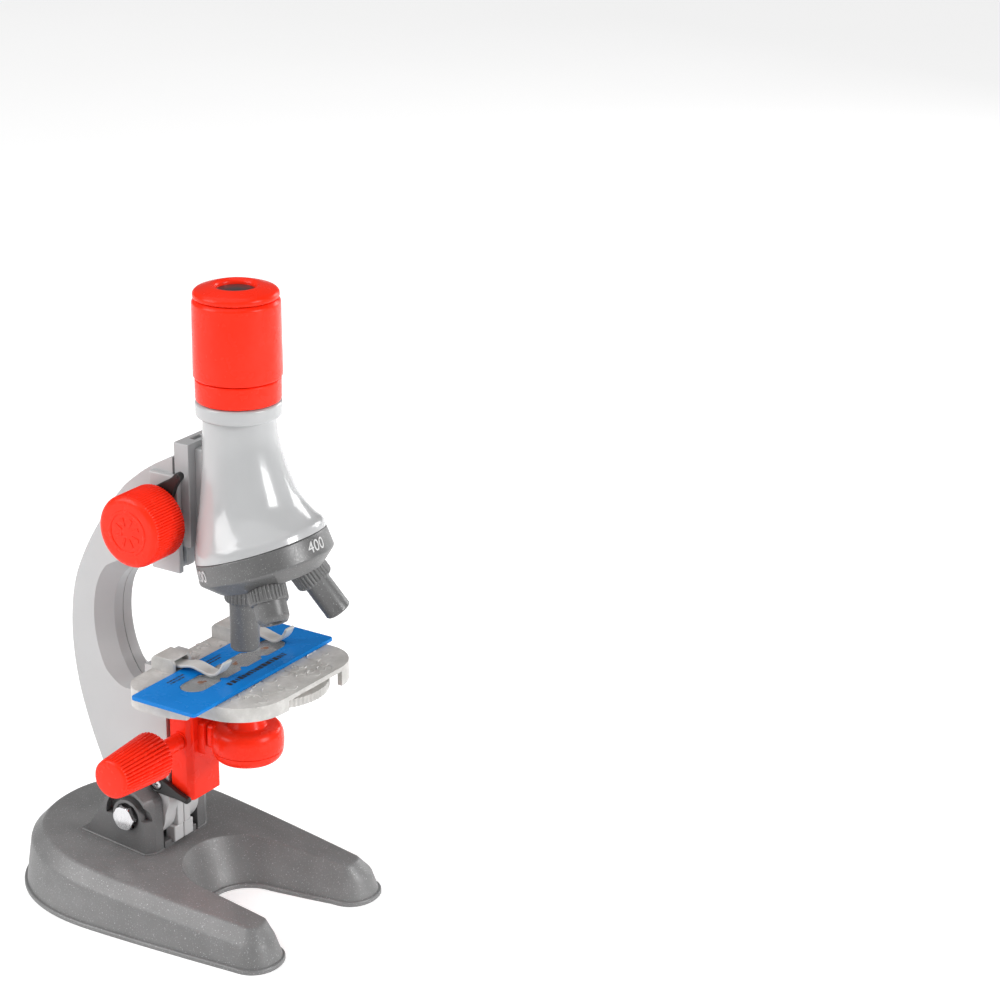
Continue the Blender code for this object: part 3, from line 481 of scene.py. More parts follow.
def soften(profile, radius, steps=4):
    """Round the corners of a closed profile of (radius, distance) points."""
    rounded = []
    count = len(profile)
    for i, point in enumerate(profile):
        p = Vector(point[:2])
        if p.x < 1e-9:
            rounded.append(tuple(p))
            continue
        before = Vector(profile[i - 1][:2])
        after = Vector(profile[(i + 1) % count][:2])
        to_before = before - p
        to_after = after - p
        cut = min(radius, to_before.length * 0.45, to_after.length * 0.45)
        start = p + to_before.normalized() * cut
        end = p + to_after.normalized() * cut
        for s in range(steps + 1):
            t = s / steps
            rounded.append(tuple((1 - t) ** 2 * start + 2 * t * (1 - t) * p + t * t * end))
    return rounded


def smooth_curve(knots, steps):
    """A Catmull-Rom curve through the knots."""
    ends = [2 * Vector(knots[0]) - Vector(knots[1])]
    ends.append(2 * Vector(knots[-1]) - Vector(knots[-2]))
    guide = [ends[0]] + [Vector(k) for k in knots] + [ends[1]]
    curve = []
    for i in range(1, len(guide) - 2):
        p0, p1, p2, p3 = guide[i - 1:i + 3]
        for s in range(steps):
            t = s / steps
            curve.append(0.5 * (2 * p1 + (p2 - p0) * t + (2 * p0 - 5 * p1 + 4 * p2 - p3) * t * t
                                + (3 * p1 - p0 - 3 * p2 + p3) * t ** 3))
    curve.append(guide[-2])
    return [tuple(p) for p in curve]


def push_out(curve, distance):
    """Move a curve to its left by a distance that fades in and out at its two ends."""
    moved = []
    last = len(curve) - 1
    for i, point in enumerate(curve):
        before = Vector(curve[max(i - 1, 0)])
        after = Vector(curve[min(i + 1, last)])
        along = (after - before).normalized()
        fade = min(1.0, 4.0 * i / last, 4.0 * (last - i) / last)
        left = Vector((-along.y, along.x))
        moved.append(tuple(Vector(point) + left * distance * fade))
    return moved


def ribs(count, duty=2.0):
    """A rib wave: rounded ridges with narrow grooves between them."""
    return lambda a: 1.5 * (abs(math.cos(a * count / 2.0)) ** (1.0 / duty) - 1.0)


# ---------------------------------------------------------------- base

def base_top(y):
    return 15.3 + 0.085 * y


def base_outline(inset, gap_tip, gap_radius, gap_centre, fine):
    """The horseshoe seen from above: a round rear, tapering sides and two round prongs."""
    side = 42.5 - inset
    rear = 88.0 - inset
    middle = 40.0
    outer = 38.2 - inset
    front = -32.0 + inset
    tip_start = -21.0
    half = []
    steps = 7 * fine
    for i in range(steps + 1):
        a = math.radians(90.0 - 90.0 * i / steps)
        half.append((side * math.cos(a) ** 0.9, middle + (rear - middle) * math.sin(a) ** 0.9))
    for i in range(1, 2 * fine):
        t = i / (2 * fine)
        y = middle + (tip_start - middle) * t
        half.append((side + (outer - side) * t ** 1.35, y))
    mid_x = (outer + gap_tip) / 2.0
    half_x = (outer - gap_tip) / 2.0
    for i in range(steps + 1):
        a = math.radians(180.0 * i / steps)
        reach = (front - tip_start) * math.sin(a) ** 0.8
        half.append((mid_x + half_x * math.cos(a), tip_start + reach))
    for i in range(1, 2 * fine):
        t = i / (2 * fine)
        across = gap_tip + (gap_radius - gap_tip) * t ** 0.9
        half.append((across, tip_start + (gap_centre - tip_start) * t))
    for i in range(5 * fine + 1):
        a = math.radians(90.0 * i / (5 * fine))
        half.append((gap_radius * math.cos(a), gap_centre + gap_radius * math.sin(a)))
    half[0] = (0.0, rear)
    half[-1] = (0.0, gap_centre + gap_radius)
    return half + [(-x, y) for x, y in reversed(half[1:-1])]


def base_section(inset, gap, height, fine=6):
    outline = base_outline(inset, *gap, fine)
    return [(x, y, height(y) if callable(height) else height) for x, y in outline]


def between(first, second, t):
    return tuple(a + (b - a) * t for a, b in zip(first, second))


def ear_outline(front_limit, radius):
    top = arc((HINGE_Y, HINGE_Z), radius, 34.0, 180.0, 40)
    points = [(62.5, 14.0), (60.2, 18.0)] + top + [(HINGE_Y - radius, 14.0)]
    return [(max(y, front_limit), z) for y, z in points]


def make_base():
    floor_gap = (17.2, 13.2, 2.0)
    bevel_gap = (20.0, 18.0, 3.5)
    top_gap = (21.8, 20.2, 4.2)
    wall_gap = (18.0, 14.2, 2.1)

    def bevel_height(y):
        return base_top(y) - 5.0

    rings = [base_section(2.3, (19.5, 15.5, 2.0), 2.0), base_section(2.3, (19.5, 15.5, 2.0), 0.0)]
    rings += [base_section(0.25, (17.4, 13.4, 2.0), 0.0), base_section(0.0, floor_gap, 0.3),
              base_section(0.0, floor_gap, 1.3), base_section(0.25, (17.45, 13.45, 2.0), 1.65),
              base_section(0.95, wall_gap, 1.75), base_section(1.02, (18.06, 14.3, 2.1), 2.1)]
    inner = (1.02, 18.06, 14.3, 2.1)
    outer = (3.0, *bevel_gap)
    for t in (0.25, 0.5, 0.75, 0.95):
        inset, *gap = between(inner, outer, t)
        rings.append(base_section(inset, gap, lambda y, t=t: 2.1 + (bevel_height(y) - 2.1) * t))
    crown = (7.4, *top_gap)
    for t in (0.06, 0.16, 0.84, 0.94):
        inset, *gap = between(outer, crown, t)
        lift = t if t > 0.2 and t < 0.9 else t
        rings.append(base_section(inset, gap, lambda y, t=lift: bevel_height(y) + 5.0 * (t ** 0.93)))
    rings.append(base_section(7.9, (22.2, 20.6, 4.2), lambda y: base_top(y) - 0.03))
    rings.append(base_section(8.6, (22.8, 21.2, 4.2), base_top))
    add_piece("base_horseshoe", loft(rings), BASE_GREY, "base", ("base_shell",))

    for side, label in ((-1, "left"), (1, "right")):
        layers = [(EAR_INNER, EAR_FRONT, EAR_RADIUS), (EAR_INNER + 4.0, EAR_FRONT, EAR_RADIUS),
                  (EAR_OUTER, EAR_FRONT + 2.0, EAR_RADIUS - 0.9)]
        shape = loft([[(side * x, y, z) for y, z in ear_outline(front, r)] for x, front, r in layers])
        ear = add_piece(f"hinge_ear_{label}", shape, SMOOTH_GREY, "base", ("base_shell",))
        centre = Vector((0.0, HINGE_Y, HINGE_Z))
        face = centre + X_AXIS * side * EAR_OUTER
        sector = arc((HINGE_Y, HINGE_Z), 9.1, -4.0, 184.0, 30)
        sector += arc((HINGE_Y, HINGE_Z), 6.1, 184.0, -4.0, 30)
        combine(ear, prism_x(sector, side * (EAR_OUTER - 3.0), side * (EAR_OUTER + 2.0)))
        combine(ear, rod(5.0, face - X_AXIS * side * 1.4, X_AXIS * side, 4.0))
        combine(ear, rod(2.8, centre, X_AXIS * side, 30.0, 32))
        round_edges(ear, 0.35, 3, 25.0)
        front = EAR_FRONT - 0.4
        plan = ((8.9, front), (8.9, 61.0), (17.2, 61.0), (17.2, front + 2.4), (13.4, front))
        skirt = [(side * x, y) for x, y in plan]
        foot = loft([[(x, y, base_top(y) - 0.6) for x, y in skirt],
                     [(x * 0.99 + side * 0.1, y, base_top(y) + 0.7) for x, y in skirt]])
        add_piece(f"ear_foot_{label}", foot, SMOOTH_GREY, "base", (), bevel=0.5,
                  segments=4)
        floor_y = 33.0
        bridge = box(side * 8.6, side * 3.0, floor_y - 2.6, floor_y + 1.2, base_top(33) - 0.5,
                     base_top(33) + 2.2)
        add_piece(f"ear_bridge_{label}", bridge, SMOOTH_GREY, "base", (), bevel=0.35)


def hex_head(centre, axis, across, thickness):
    """A hexagon head with its corners turned down to a cone, as bolts have."""
    radius = across / math.sqrt(3.0)

    def ring_at(distance, limit):
        points = []
        level, other = axis_frame(axis)
        for i in range(96):
            a = 2.0 * math.pi * i / 96 + math.radians(20.0)
            sector = (a % (math.pi / 3.0)) - math.pi / 6.0
            flat = across / 2.0 / math.cos(sector)
            r = min(flat, limit, radius)
            spoke = math.cos(a) * level + math.sin(a) * other
            points.append(Vector(centre) + axis * distance + r * spoke)
        return points

    limits_at = [(0.0, radius), (thickness - 0.55, radius), (thickness - 0.3, radius * 0.97),
                 (thickness - 0.08, radius * 0.93), (thickness, radius * 0.90),
                 (thickness, radius * 0.6)]
    return loft([ring_at(d, limit) for d, limit in limits_at])


def make_hinge_bolt():
    centre = Vector((0.0, HINGE_Y, HINGE_Z))
    head = hex_head(centre - X_AXIS * (EAR_OUTER - 1.1), -X_AXIS, 8.0, 3.3)
    shank = rod(2.5, centre - X_AXIS * (EAR_OUTER - 1.0), X_AXIS, 2 * EAR_OUTER + 1.4, 48, 0.3)
    add_piece("tilt_bolt_bright", merge(head, shank), CHROME, "base", ("tilt_bolt",),
              sharp=20.0)
    nut = hex_head(centre + X_AXIS * (EAR_OUTER - 1.1), X_AXIS, 8.0, 2.9)
    add_piece("tilt_nut_bright", nut, CHROME, "base", ("tilt_nut",), sharp=20.0)


# ---------------------------------------------------------------- arm

def arm_outlines():
    back_knots = [(HEAD_FRONT, 162.6), (27.6, 159.3), (35.3, 154.1), (43.4, 146.8), (53.1, 133.6),
                  (60.6, 120.8), (65.5, 108.0),
                  (67.4, 92.0), (66.0, 75.0), (61.8, 59.0), (54.5, 40.0)]
    back = smooth_curve(back_knots, 10)
    hub = arc((HINGE_Y, HINGE_Z), 10.6, 20.0, -180.0, 40)
    front = [(ARM_FRONT, 36.0), (ARM_FRONT, 77.3), (17.0, 77.3), (17.0, 86.1), (36.0, 86.1),
             (36.0, 78.5)]
    throat_knots = [(40.5, 75.2), (46.0, 78.5), (50.6, 87.5), (52.2, 99.0), (50.0, 110.5),
                    (43.5, 118.5), (35.0, HEAD_BOTTOM)]
    throat = smooth_curve(throat_knots, 10)
    corner = [(HEAD_FRONT, HEAD_BOTTOM)]
    full = back + hub + front + throat + corner
    bevelled = back + hub + front + push_out(throat, -5.2) + corner
    return full, bevelled


def rail(side, y_neck, y_head, y_end, z0, z1):
    outline = [(side * 2.6, y_neck), (side * 4.4, y_neck), (side * 4.4, y_head), (side * 6.1, y_head),
               (side * 6.1, y_end), (side * 2.6, y_end)]
    return prism_z(outline, z0, z1)


def cross_slot(centre, axis, size, depth):
    """The cutter for a cross-head recess."""
    level, other = axis_frame(axis)
    shapes = []
    for first, second in ((level, other), (other, level)):
        outer = [first * size + second * 0.32, first * -size + second * 0.32,
                 first * -size - second * 0.32, first * size - second * 0.32]
        inner = [v * 0.45 for v in outer]
        top = [Vector(centre) + v + axis * 0.3 for v in outer]
        bottom = [Vector(centre) + v - axis * depth for v in inner]
        shapes.append(loft([top, bottom]))
    return shapes


def screw_head(name, centre, axis, radius, body, node, shank):
    """A domed cross-head screw. The axis points out of the head."""
    axis = Vector(axis)
    profile = [(0.0, -shank), (radius * 0.5, -shank), (radius * 0.5, -0.6), (radius, -0.6),
               (radius, -0.25), (radius * 0.92, -0.05), (radius * 0.7, 0.06), (0.0, 0.12)]
    screw = add_piece(name, lathe(profile, centre, axis, 48), STEEL, body, (node,), sharp=40.0)
    for cutter in cross_slot(centre, axis, radius * 0.62, 0.8):
        combine(screw, cutter)


def make_arm():
    full, bevelled = arm_outlines()
    for side, label in ((-1, "left"), (1, "right")):
        node = f"arm_{label}_shell"
        layers = [(side * 0.15, full), (side * (ARM_HALF - ARM_BEVEL), full),
                  (side * ARM_HALF, bevelled)]
        shell = add_piece(f"arm_cheek_{label}",
                          loft([[(x, y, z) for y, z in line] for x, line in layers]), ARM_GREY, "arm",
                          (node,))
        combine(shell, box(side * -1.0, side * 2.6, ARM_FRONT - 5.0, ARM_FRONT + 0.6, 20.0, 77.2))
        round_edges(shell, 0.9, 4, 24.0)
        proud = 0.06
        inner = side * (SLIDE_HALF + 0.3)
        plan = [(side * 1.0, HEAD_BACK), (side * HEAD_HALF, HEAD_BACK), (side * HEAD_HALF, CHEEK_FRONT),
                (inner, CHEEK_FRONT), (inner, HEAD_FRONT - proud), (side * 1.0, HEAD_FRONT - proud)]
        add_piece(f"arm_head_{label}", prism_z(plan, HEAD_BOTTOM - proud, HEAD_TOP), ARM_GREY, "arm",
                  (), bevel=0.5, segments=4)
        upper = rail(side, HEAD_FRONT + 0.5, HEAD_FRONT - 1.2, HEAD_FRONT - 2.6, HEAD_BOTTOM + 1.2,
                     HEAD_TOP - 0.6)
        lower = rail(side, ARM_FRONT + 0.5, ARM_FRONT - 2.5, ARM_FRONT - 4.0, 36.5, 77.8)
        add_piece(f"tube_guide_{label}", upper, ARM_GREY, "arm", (), bevel=0.25)
        add_piece(f"lamp_guide_{label}", lower, ARM_GREY, "arm", (), bevel=0.25)
        stop = box(side * 0.15, side * 5.0, 28.8, 33.0, 19.2, 25.0)
        add_piece(f"tilt_stop_{label}", stop, ARM_GREY, "arm", (), bevel=0.5, segments=4)
        hub_rib = box(side * 0.15, side * 3.4, 28.6, 31.0, 25.0, 37.0)
        add_piece(f"hub_rib_{label}", hub_rib, ARM_GREY, "arm", (), bevel=0.4)
    for name, y, z in (("arm_screw_upper", 36.0, 136.0), ("arm_screw_lower", 48.0, 48.0)):
        screw_head(name + "_head", (ARM_HALF - 0.2, y, z), X_AXIS, 2.5, "arm", name, 4.0)


# ---------------------------------------------------------------- stage

def shrink(outline, distance):
    """Move every point of a closed outline inwards, square to its neighbours."""
    moved = []
    count = len(outline)
    for i, point in enumerate(outline):
        along = (Vector(outline[(i + 1) % count]) - Vector(outline[i - 1])).normalized()
        moved.append(tuple(Vector(point) + Vector((-along.y, along.x)) * distance))
    return moved


def stage_outline(inset, steps=10):
    points = arc((25.0, 19.0), 9.0, 0.0, 90.0, steps)
    points += arc((-22.5, 18.7), 9.3, 90.0, 180.0, steps)
    points += smooth_curve([(-31.8, 12.0), (-31.2, 7.7), (-29.4, 2.5), (-28.0, -3.5), (-27.2, -9.5),
                            (-25.6, -14.0), (-22.8, -18.0), (-19.2, -21.0), (-14.5, -22.9),
                            (-9.0, -23.6)], 4)
    points += arc((21.0, -11.2), 12.8, 270.0, 360.0, steps + 2)
    return shrink(points, inset)


def stage_swirls():
    """Low raised squiggles on the stage plate, as generic moulded decoration."""
    rng = random.Random(11)
    shapes = []
    height = 0.28
    while len(shapes) < 120:
        x = rng.uniform(-30.0, 31.0)
        y = rng.uniform(-20.0, 26.0)
        turn = rng.uniform(0.0, 360.0)
        radius = rng.uniform(0.9, 3.0)
        sweep = rng.uniform(70.0, 240.0)
        if y > 16.5 and (-17.5 < x < -4.0 or 15.0 < x < 30.0):
            continue
        if math.hypot(x, y) < 9.0 or (x < -23.0 and y < 8.0):
            continue
        if x < -22.0 and y > 22.0 or x > 24.0 and (y > 20.0 or y < -13.0):
            continue
        line = arc((x, y), radius, turn, turn + sweep, 8)
        wide = []
        for i, (px, py) in enumerate(line):
            taper = 0.36 * (0.35 + 0.65 * math.sin(math.pi * (i + 0.5) / len(line)))
            out = Vector((px - x, py - y)).normalized()
            wide.append((px, py, out, taper))
        outer = [(px + o.x * t, py + o.y * t) for px, py, o, t in wide]
        inner = [(px - o.x * t, py - o.y * t) for px, py, o, t in wide]
        crest = [(px, py) for px, py, o, t in wide]
        z = STAGE_TOP - 0.02
        points = [(px, py, z) for px, py in outer] + [(px, py, z + height) for px, py in crest]
        points += [(px, py, z) for px, py in inner]
        n = len(line)
        faces = []
        for i in range(n - 1):
            faces.append((i, i + 1, n + i + 1, n + i))
            faces.append((n + i, n + i + 1, 2 * n + i + 1, 2 * n + i))
            faces.append((2 * n + i, 2 * n + i + 1, i + 1, i))
        faces.append((0, n, 2 * n))
        faces.append((n - 1, 3 * n - 1, 2 * n - 1))
        shapes.append((points, faces))
    return merge(*shapes)


def strip(knots, thickness, x0, x1, taper=0.0):
    """A flat strip that follows a side-view line; its sides draw in by taper towards the far end."""
    rings = []
    last = len(knots) - 1
    for i, point in enumerate(knots):
        along = (Vector(knots[min(i + 1, last)]) - Vector(knots[max(i - 1, 0)])).normalized()
        square = Vector((along.y, -along.x)) * thickness / 2.0
        p = Vector(point)
        draw = taper * (i / last) ** 1.5
        a, b = p + square, p - square
        near, far = x0 + draw, x1 - draw
        rings.append([(near, a.x, a.y), (far, a.x, a.y), (far, b.x, b.y), (near, b.x, b.y)])
    return loft(rings)


def make_stage_parts():
    plate = add_piece("stage_table", prism_z(stage_outline(0.0), SKIRT_BOTTOM, STAGE_TOP), STAGE_PEARL,
                      "arm", ("stage_plate",))
    under = STAGE_TOP - 2.0
    combine(plate, prism_z(stage_outline(1.8), SKIRT_BOTTOM - 1.0, under))
    combine(plate, box(-40.0, -7.8, -26.0, 2.0, SKIRT_BOTTOM - 1.0, LOBE_BOTTOM))
    combine(plate, rod(4.5, (0, 0, 80), Z_AXIS, 20.0, 64))
    combine(plate, box(-7.8, 21.0, -26.0, -16.0, SKIRT_BOTTOM - 1.0, under + 0.4))
    combine(plate, box(-ARM_HALF - 0.3, ARM_HALF + 0.3, 15.0, 40.0, SKIRT_BOTTOM - 1.0, under))
    combine(plate, rod(1.3, (WHEEL.x, WHEEL.y, 80), Z_AXIS, 20.0, 32))
    round_edges(plate, 0.4, 3, 30.0)
    for label, x0, x1 in (("left", -15.2, -6.2), ("right", 17.0, 28.0)):
        outline = [(28.0, STAGE_TOP - 0.3), (28.0, 92.2), (26.6, 93.6), (19.4, 93.6), (18.2, 92.2),
                   (18.2, STAGE_TOP - 0.3)]
        block = add_piece(f"clip_block_{label}", prism_x(outline, x0, x1), STAGE_PEARL, "arm", ())
        combine(block, box(x0 + 1.2, x1 - 1.2, 15.0, 27.2, 89.2, 92.8))
        round_edges(block, 0.35, 3, 25.0)
    add_piece("stage_relief", stage_swirls(), STAGE_PEARL, "arm", (), sharp=80.0)

    for label, x0 in (("left", -13.6), ("right", 20.6)):
        knots = smooth_curve([(26.4, 90.8), (21.0, 90.8), (17.0, 91.2), (12.5, 92.2), (8.4, 91.5),
                              (5.2, 90.9), (2.5, 91.7), (0.5, 93.8), (-0.8, 96.3)], 6)
        add_piece(f"slide_clip_{label}", strip(knots, 1.0, x0, x0 + 5.8, 0.7), CLIP_GREY,
                  f"clip_{label}", (f"stage_clip_{label}",), bevel=0.28, segments=3)

    rim = [(1.6, 2.0), (17.0, 2.0), (17.0, 0.0), (17.6, 0.0, 0.0), (18.9, 0.25, 0.25), (19.0, 0.6, 0.5),
           (19.0, 2.8, 0.5), (18.9, 3.15, 0.25), (18.0, 3.4), (1.6, 3.4)]
    wheel = add_piece("aperture_wheel", lathe(rim, WHEEL, Z_AXIS, 360, ribs(72, 1.5)), STAGE_PEARL,
                      "condenser", ("condenser_wheel",), sharp=40.0)
    radius = math.hypot(WHEEL.x, WHEEL.y)
    start = math.atan2(-WHEEL.y, -WHEEL.x)
    for i, hole in enumerate((4.2, 3.4, 2.7, 2.0, 1.4)):
        a = start + 2.0 * math.pi * i / 5
        centre = (WHEEL.x + radius * math.cos(a), WHEEL.y + radius * math.sin(a), 78.0)
        combine(wheel, rod(hole, centre, Z_AXIS, 8.0, 40))
    screw_head("wheel_screw_head", (WHEEL.x, WHEEL.y, 80.2), -Z_AXIS, 2.8, "arm", "wheel_pivot_screw",
               5.0)


def slide_window_outline(inset):
    """The long window of the slide: round ends and small pointed teeth along both sides."""
    d = inset
    y0, y1 = 0.6 + d, 9.8 - d
    middle = 5.2
    half = 21.0
    r = (y1 - y0) / 2.0
    points = arc((half, middle), r, -90.0, 90.0, 14)
    for x in (11.0, 0.0, -11.0):
        points += [(x + 1.6 - d, y1), (x, y1 - 1.7), (x - 1.6 + d, y1)]
    points += arc((-half, middle), r, 90.0, 270.0, 14)
    for x in (-11.0, 0.0, 11.0):
        points += [(x - 1.6 + d, y0), (x, y0 + 1.7), (x + 1.6 - d, y0)]
    return points


def rounded_rectangle(x0, x1, y0, y1, radius, steps=6):
    points = arc((x1 - radius, y1 - radius), radius, 0.0, 90.0, steps)
    points += arc((x0 + radius, y1 - radius), radius, 90.0, 180.0, steps)
    points += arc((x0 + radius, y0 + radius), radius, 180.0, 270.0, steps)
    points += arc((x1 - radius, y0 + radius), radius, 270.0, 360.0, steps)
    return points


def printed_marks(top):
    """Rows of short bars, standing for a title and three captions."""
    rng = random.Random(5)
    shapes = []
    x = -14.0
    while x < 17.0:
        width = rng.uniform(0.7, 1.9)
        height = rng.uniform(1.9, 2.3)
        shapes.append(box(x, x + width, -4.6, -4.6 + height, top, top + 0.03))
        x += width + rng.uniform(0.35, 0.7)
    for start in (-24.0, -4.0, 15.0):
        for row in range(2):
            x = start
            while x < start + 8.0 - 1.5 * row:
                width = rng.uniform(0.5, 1.6)
                y = 13.6 - 1.5 * row
                shapes.append(box(x, x + width, y, y + 0.75, top, top + 0.03))
                x += width + 0.4
    return merge(*shapes)


def make_slide():
    low, high = limits("specimen_slide")
    outline = rounded_rectangle(low.x, high.x, low.y, high.y, 1.2)
    slide = add_piece("slide_frame", prism_z(outline, low.z, high.z), BLUE, "slide",
                      ("specimen_slide",))
    combine(slide, prism_z(slide_window_outline(0.0), low.z - 1.0, high.z + 1.0))
    round_edges(slide, 0.3, 3, 30.0)
    pane = prism_z(slide_window_outline(0.15), low.z + 0.05, high.z - 0.3)
    add_piece("slide_pane", pane, CLEAR, "slide", ("slide_window",), sharp=25.0)
    add_piece("slide_print", printed_marks(high.z + 0.004), INK, "slide", (), sharp=25.0)
    bits = []
    for x, y, size in ((-17.0, 5.6, 1.1), (-15.6, 4.9, 0.6), (1.2, 5.4, 0.9), (2.4, 6.2, 0.5),
                       (17.5, 5.0, 1.0), (16.2, 5.7, 0.5)):
        bits.append(lathe([(0, 0.0), (size, 0.05), (size * 0.7, 0.12), (0, 0.14)], (x, y, high.z - 0.28),
                          Z_AXIS, 14))
    add_piece("slide_specimens", merge(*bits), SPECIMEN, "slide", ())


# ---------------------------------------------------------------- body tube

def bell_sections(grow, steps=5):
    """Circles that lead from the upright neck to the tilted rim, grown by a distance."""
    # height, distance forwards of the optical axis, radius, lean in degrees
    stations = [(NECK_TOP, 0.0, NECK_RADIUS, 0.0), (170.5, 0.4, 12.4, 0.0), (162.3, 1.4, 13.6, 2.5),
                (155.5, 2.4, 14.9, 6.0), (150.1, 3.3, 16.3, 8.5), (145.9, 4.3, 18.0, 11.5),
                (141.9, 5.8, 19.9, 14.0), (138.9, 6.8, 21.5, 18.0)]
    stations.append((RIM_CENTRE.z, -RIM_CENTRE.y, RIM_RADIUS, math.degrees(TILT)))
    sections = []
    for height, forwards, radius, lean in smooth_curve(stations, steps):
        angle = math.radians(lean)
        axis = Vector((0.0, -math.sin(angle), -math.cos(angle)))
        sections.append((Vector((0.0, -forwards, height)), axis, radius + grow))
    return sections


def make_tube():
    sections = bell_sections(0.0)
    outer = [ring(c, a, r, 128) for c, a, r in sections]
    rim_c, rim_a, rim_r = sections[-1]
    lip = [ring(rim_c + rim_a * 0.02, rim_a, rim_r - 0.25, 128), ring(rim_c, rim_a, rim_r - 1.8, 128)]
    inner = [ring(c, a, r, 128) for c, a, r in reversed(bell_sections(-2.0)[:-1])]
    add_piece("tube_bell", loft(outer + lip + inner, wrap=True), TUBE_GREY, "tube", ("body_tube",),
              sharp=40.0)

    low, high = limits("focus_slide")
    front = 14.6
    channel = add_piece("slide_channel", box(-SLIDE_HALF, SLIDE_HALF, front, 20.6, low.z, high.z),
                        SLIDE_GREY, "tube", ("focus_slide",))
    slot = [(-6.4, 18.0), (6.4, 18.0), (6.4, 20.0), (4.7, 20.0), (4.7, 22.0), (-4.7, 22.0),
            (-4.7, 20.0), (-6.4, 20.0)]
    combine(channel, prism_z(slot, low.z - 5.0, high.z - 1.7))
    combine(channel, box(-2.6, 2.6, 16.4, 18.6, high.z - 2.4, high.z + 1.0))
    round_edges(channel, 0.6, 4, 25.0)
    web = box(-5.2, 5.2, 9.0, front + 0.3, low.z + 3.0, high.z - 2.0)
    add_piece("slide_web", web, SLIDE_GREY, "tube", (), bevel=0.7, segments=4)

    collar_z = NECK_TOP + 0.1
    collar = [(10.8, 0.0), (13.5, 0.0), (14.0, 0.7), (14.0, 4.6), (13.4, 5.1), (10.8, 5.1)]
    add_piece("tube_collar_ring", lathe(soften(collar, 0.5), (0, 0, collar_z), Z_AXIS), TUBE_GREY,
              "tube", ("tube_collar",), sharp=60.0)
    seat_z = NECK_TOP + 5.5
    seat = [(8.7, -14.0), (9.5, -14.0), (9.5, 0.0), (13.6, 0.0), (13.9, 0.5), (13.9, 7.0), (13.6, 7.3),
            (11.7, 7.4), (11.7, 22.0), (10.2, 22.0), (10.2, 1.0), (8.7, 1.0)]
    add_piece("draw_tube_seat", lathe(soften(seat, 0.3), (0, 0, seat_z), Z_AXIS), RED, "tube",
              ("eyepiece_seat",), sharp=60.0)


def make_eyepiece():
    low, high = limits("eyepiece_barrel")
    height = high.z - low.z
    barrel = [(12.0, 0.0), (14.1, 0.0), (14.4, 0.5), (14.2, height - 1.0), (13.5, height - 0.2),
              (13.2, height), (9.0, height), (9.0, height - 1.6), (12.0, height - 1.6)]
    add_piece("eyepiece_body", lathe(soften(barrel, 0.6), (0, 0, low.z), Z_AXIS), RED, "eyepiece",
              ("eyepiece_barrel",), sharp=60.0)
    low, high = limits("eyepiece_cap")
    cap = [(6.4, 0.0), (13.6, 0.0), (13.9, 0.5), (13.8, 1.7), (12.9, 2.5), (8.9, 3.75), (7.7, 3.9),
           (6.9, 3.6), (6.4, 2.9)]
    add_piece("eyepiece_top", lathe(soften(cap, 0.6), (0, 0, low.z), Z_AXIS), RED, "eyepiece",
              ("eyepiece_cap",), sharp=60.0)
    # Painted shade: a dark disc under the clear eye lens, in place of the shade inside the tube.
    glass = [(0, 2.6), (6.35, 2.1), (6.35, 1.4), (0, 1.4)]
    add_piece("eye_opening_painted_shade", lathe(glass, (0, 0, low.z), Z_AXIS, 64), EYEPIECE_PAINTED_SHADE, "eyepiece", ())


# ---------------------------------------------------------------- turret and objectives

def objective_axis(turn):
    return Matrix.Rotation(turn, 3, TURRET_AXIS) @ Vector((0.0, 0.0, -1.0))


def curved_number(text, angle, radius, along, height, depth):
    """Raised numerals that follow the turret's band."""
    curve = bpy.data.curves.new("number", "FONT")
    curve.body = text
    curve.align_x = "CENTER"
    curve.align_y = "CENTER"
    curve.size = height
    curve.resolution_u = 4
    curve.extrude = depth
    holder = bpy.data.objects.new("number", curve)
    bpy.context.collection.objects.link(holder)
    bpy.context.view_layer.update()
    graph = bpy.context.evaluated_depsgraph_get()
    mesh = bpy.data.meshes.new_from_object(holder.evaluated_get(graph))
    level, other = axis_frame(TURRET_AXIS)
    points = []
    for vertex in mesh.vertices:
        a = angle - vertex.co.x / radius
        r = radius + vertex.co.z
        spoke = math.cos(a) * level + math.sin(a) * other
        points.append(APEX + TURRET_AXIS * (along - vertex.co.y) + spoke * r)
    faces = [tuple(p.vertices) for p in mesh.polygons]
    bpy.data.objects.remove(holder, do_unlink=True)
    return points, faces


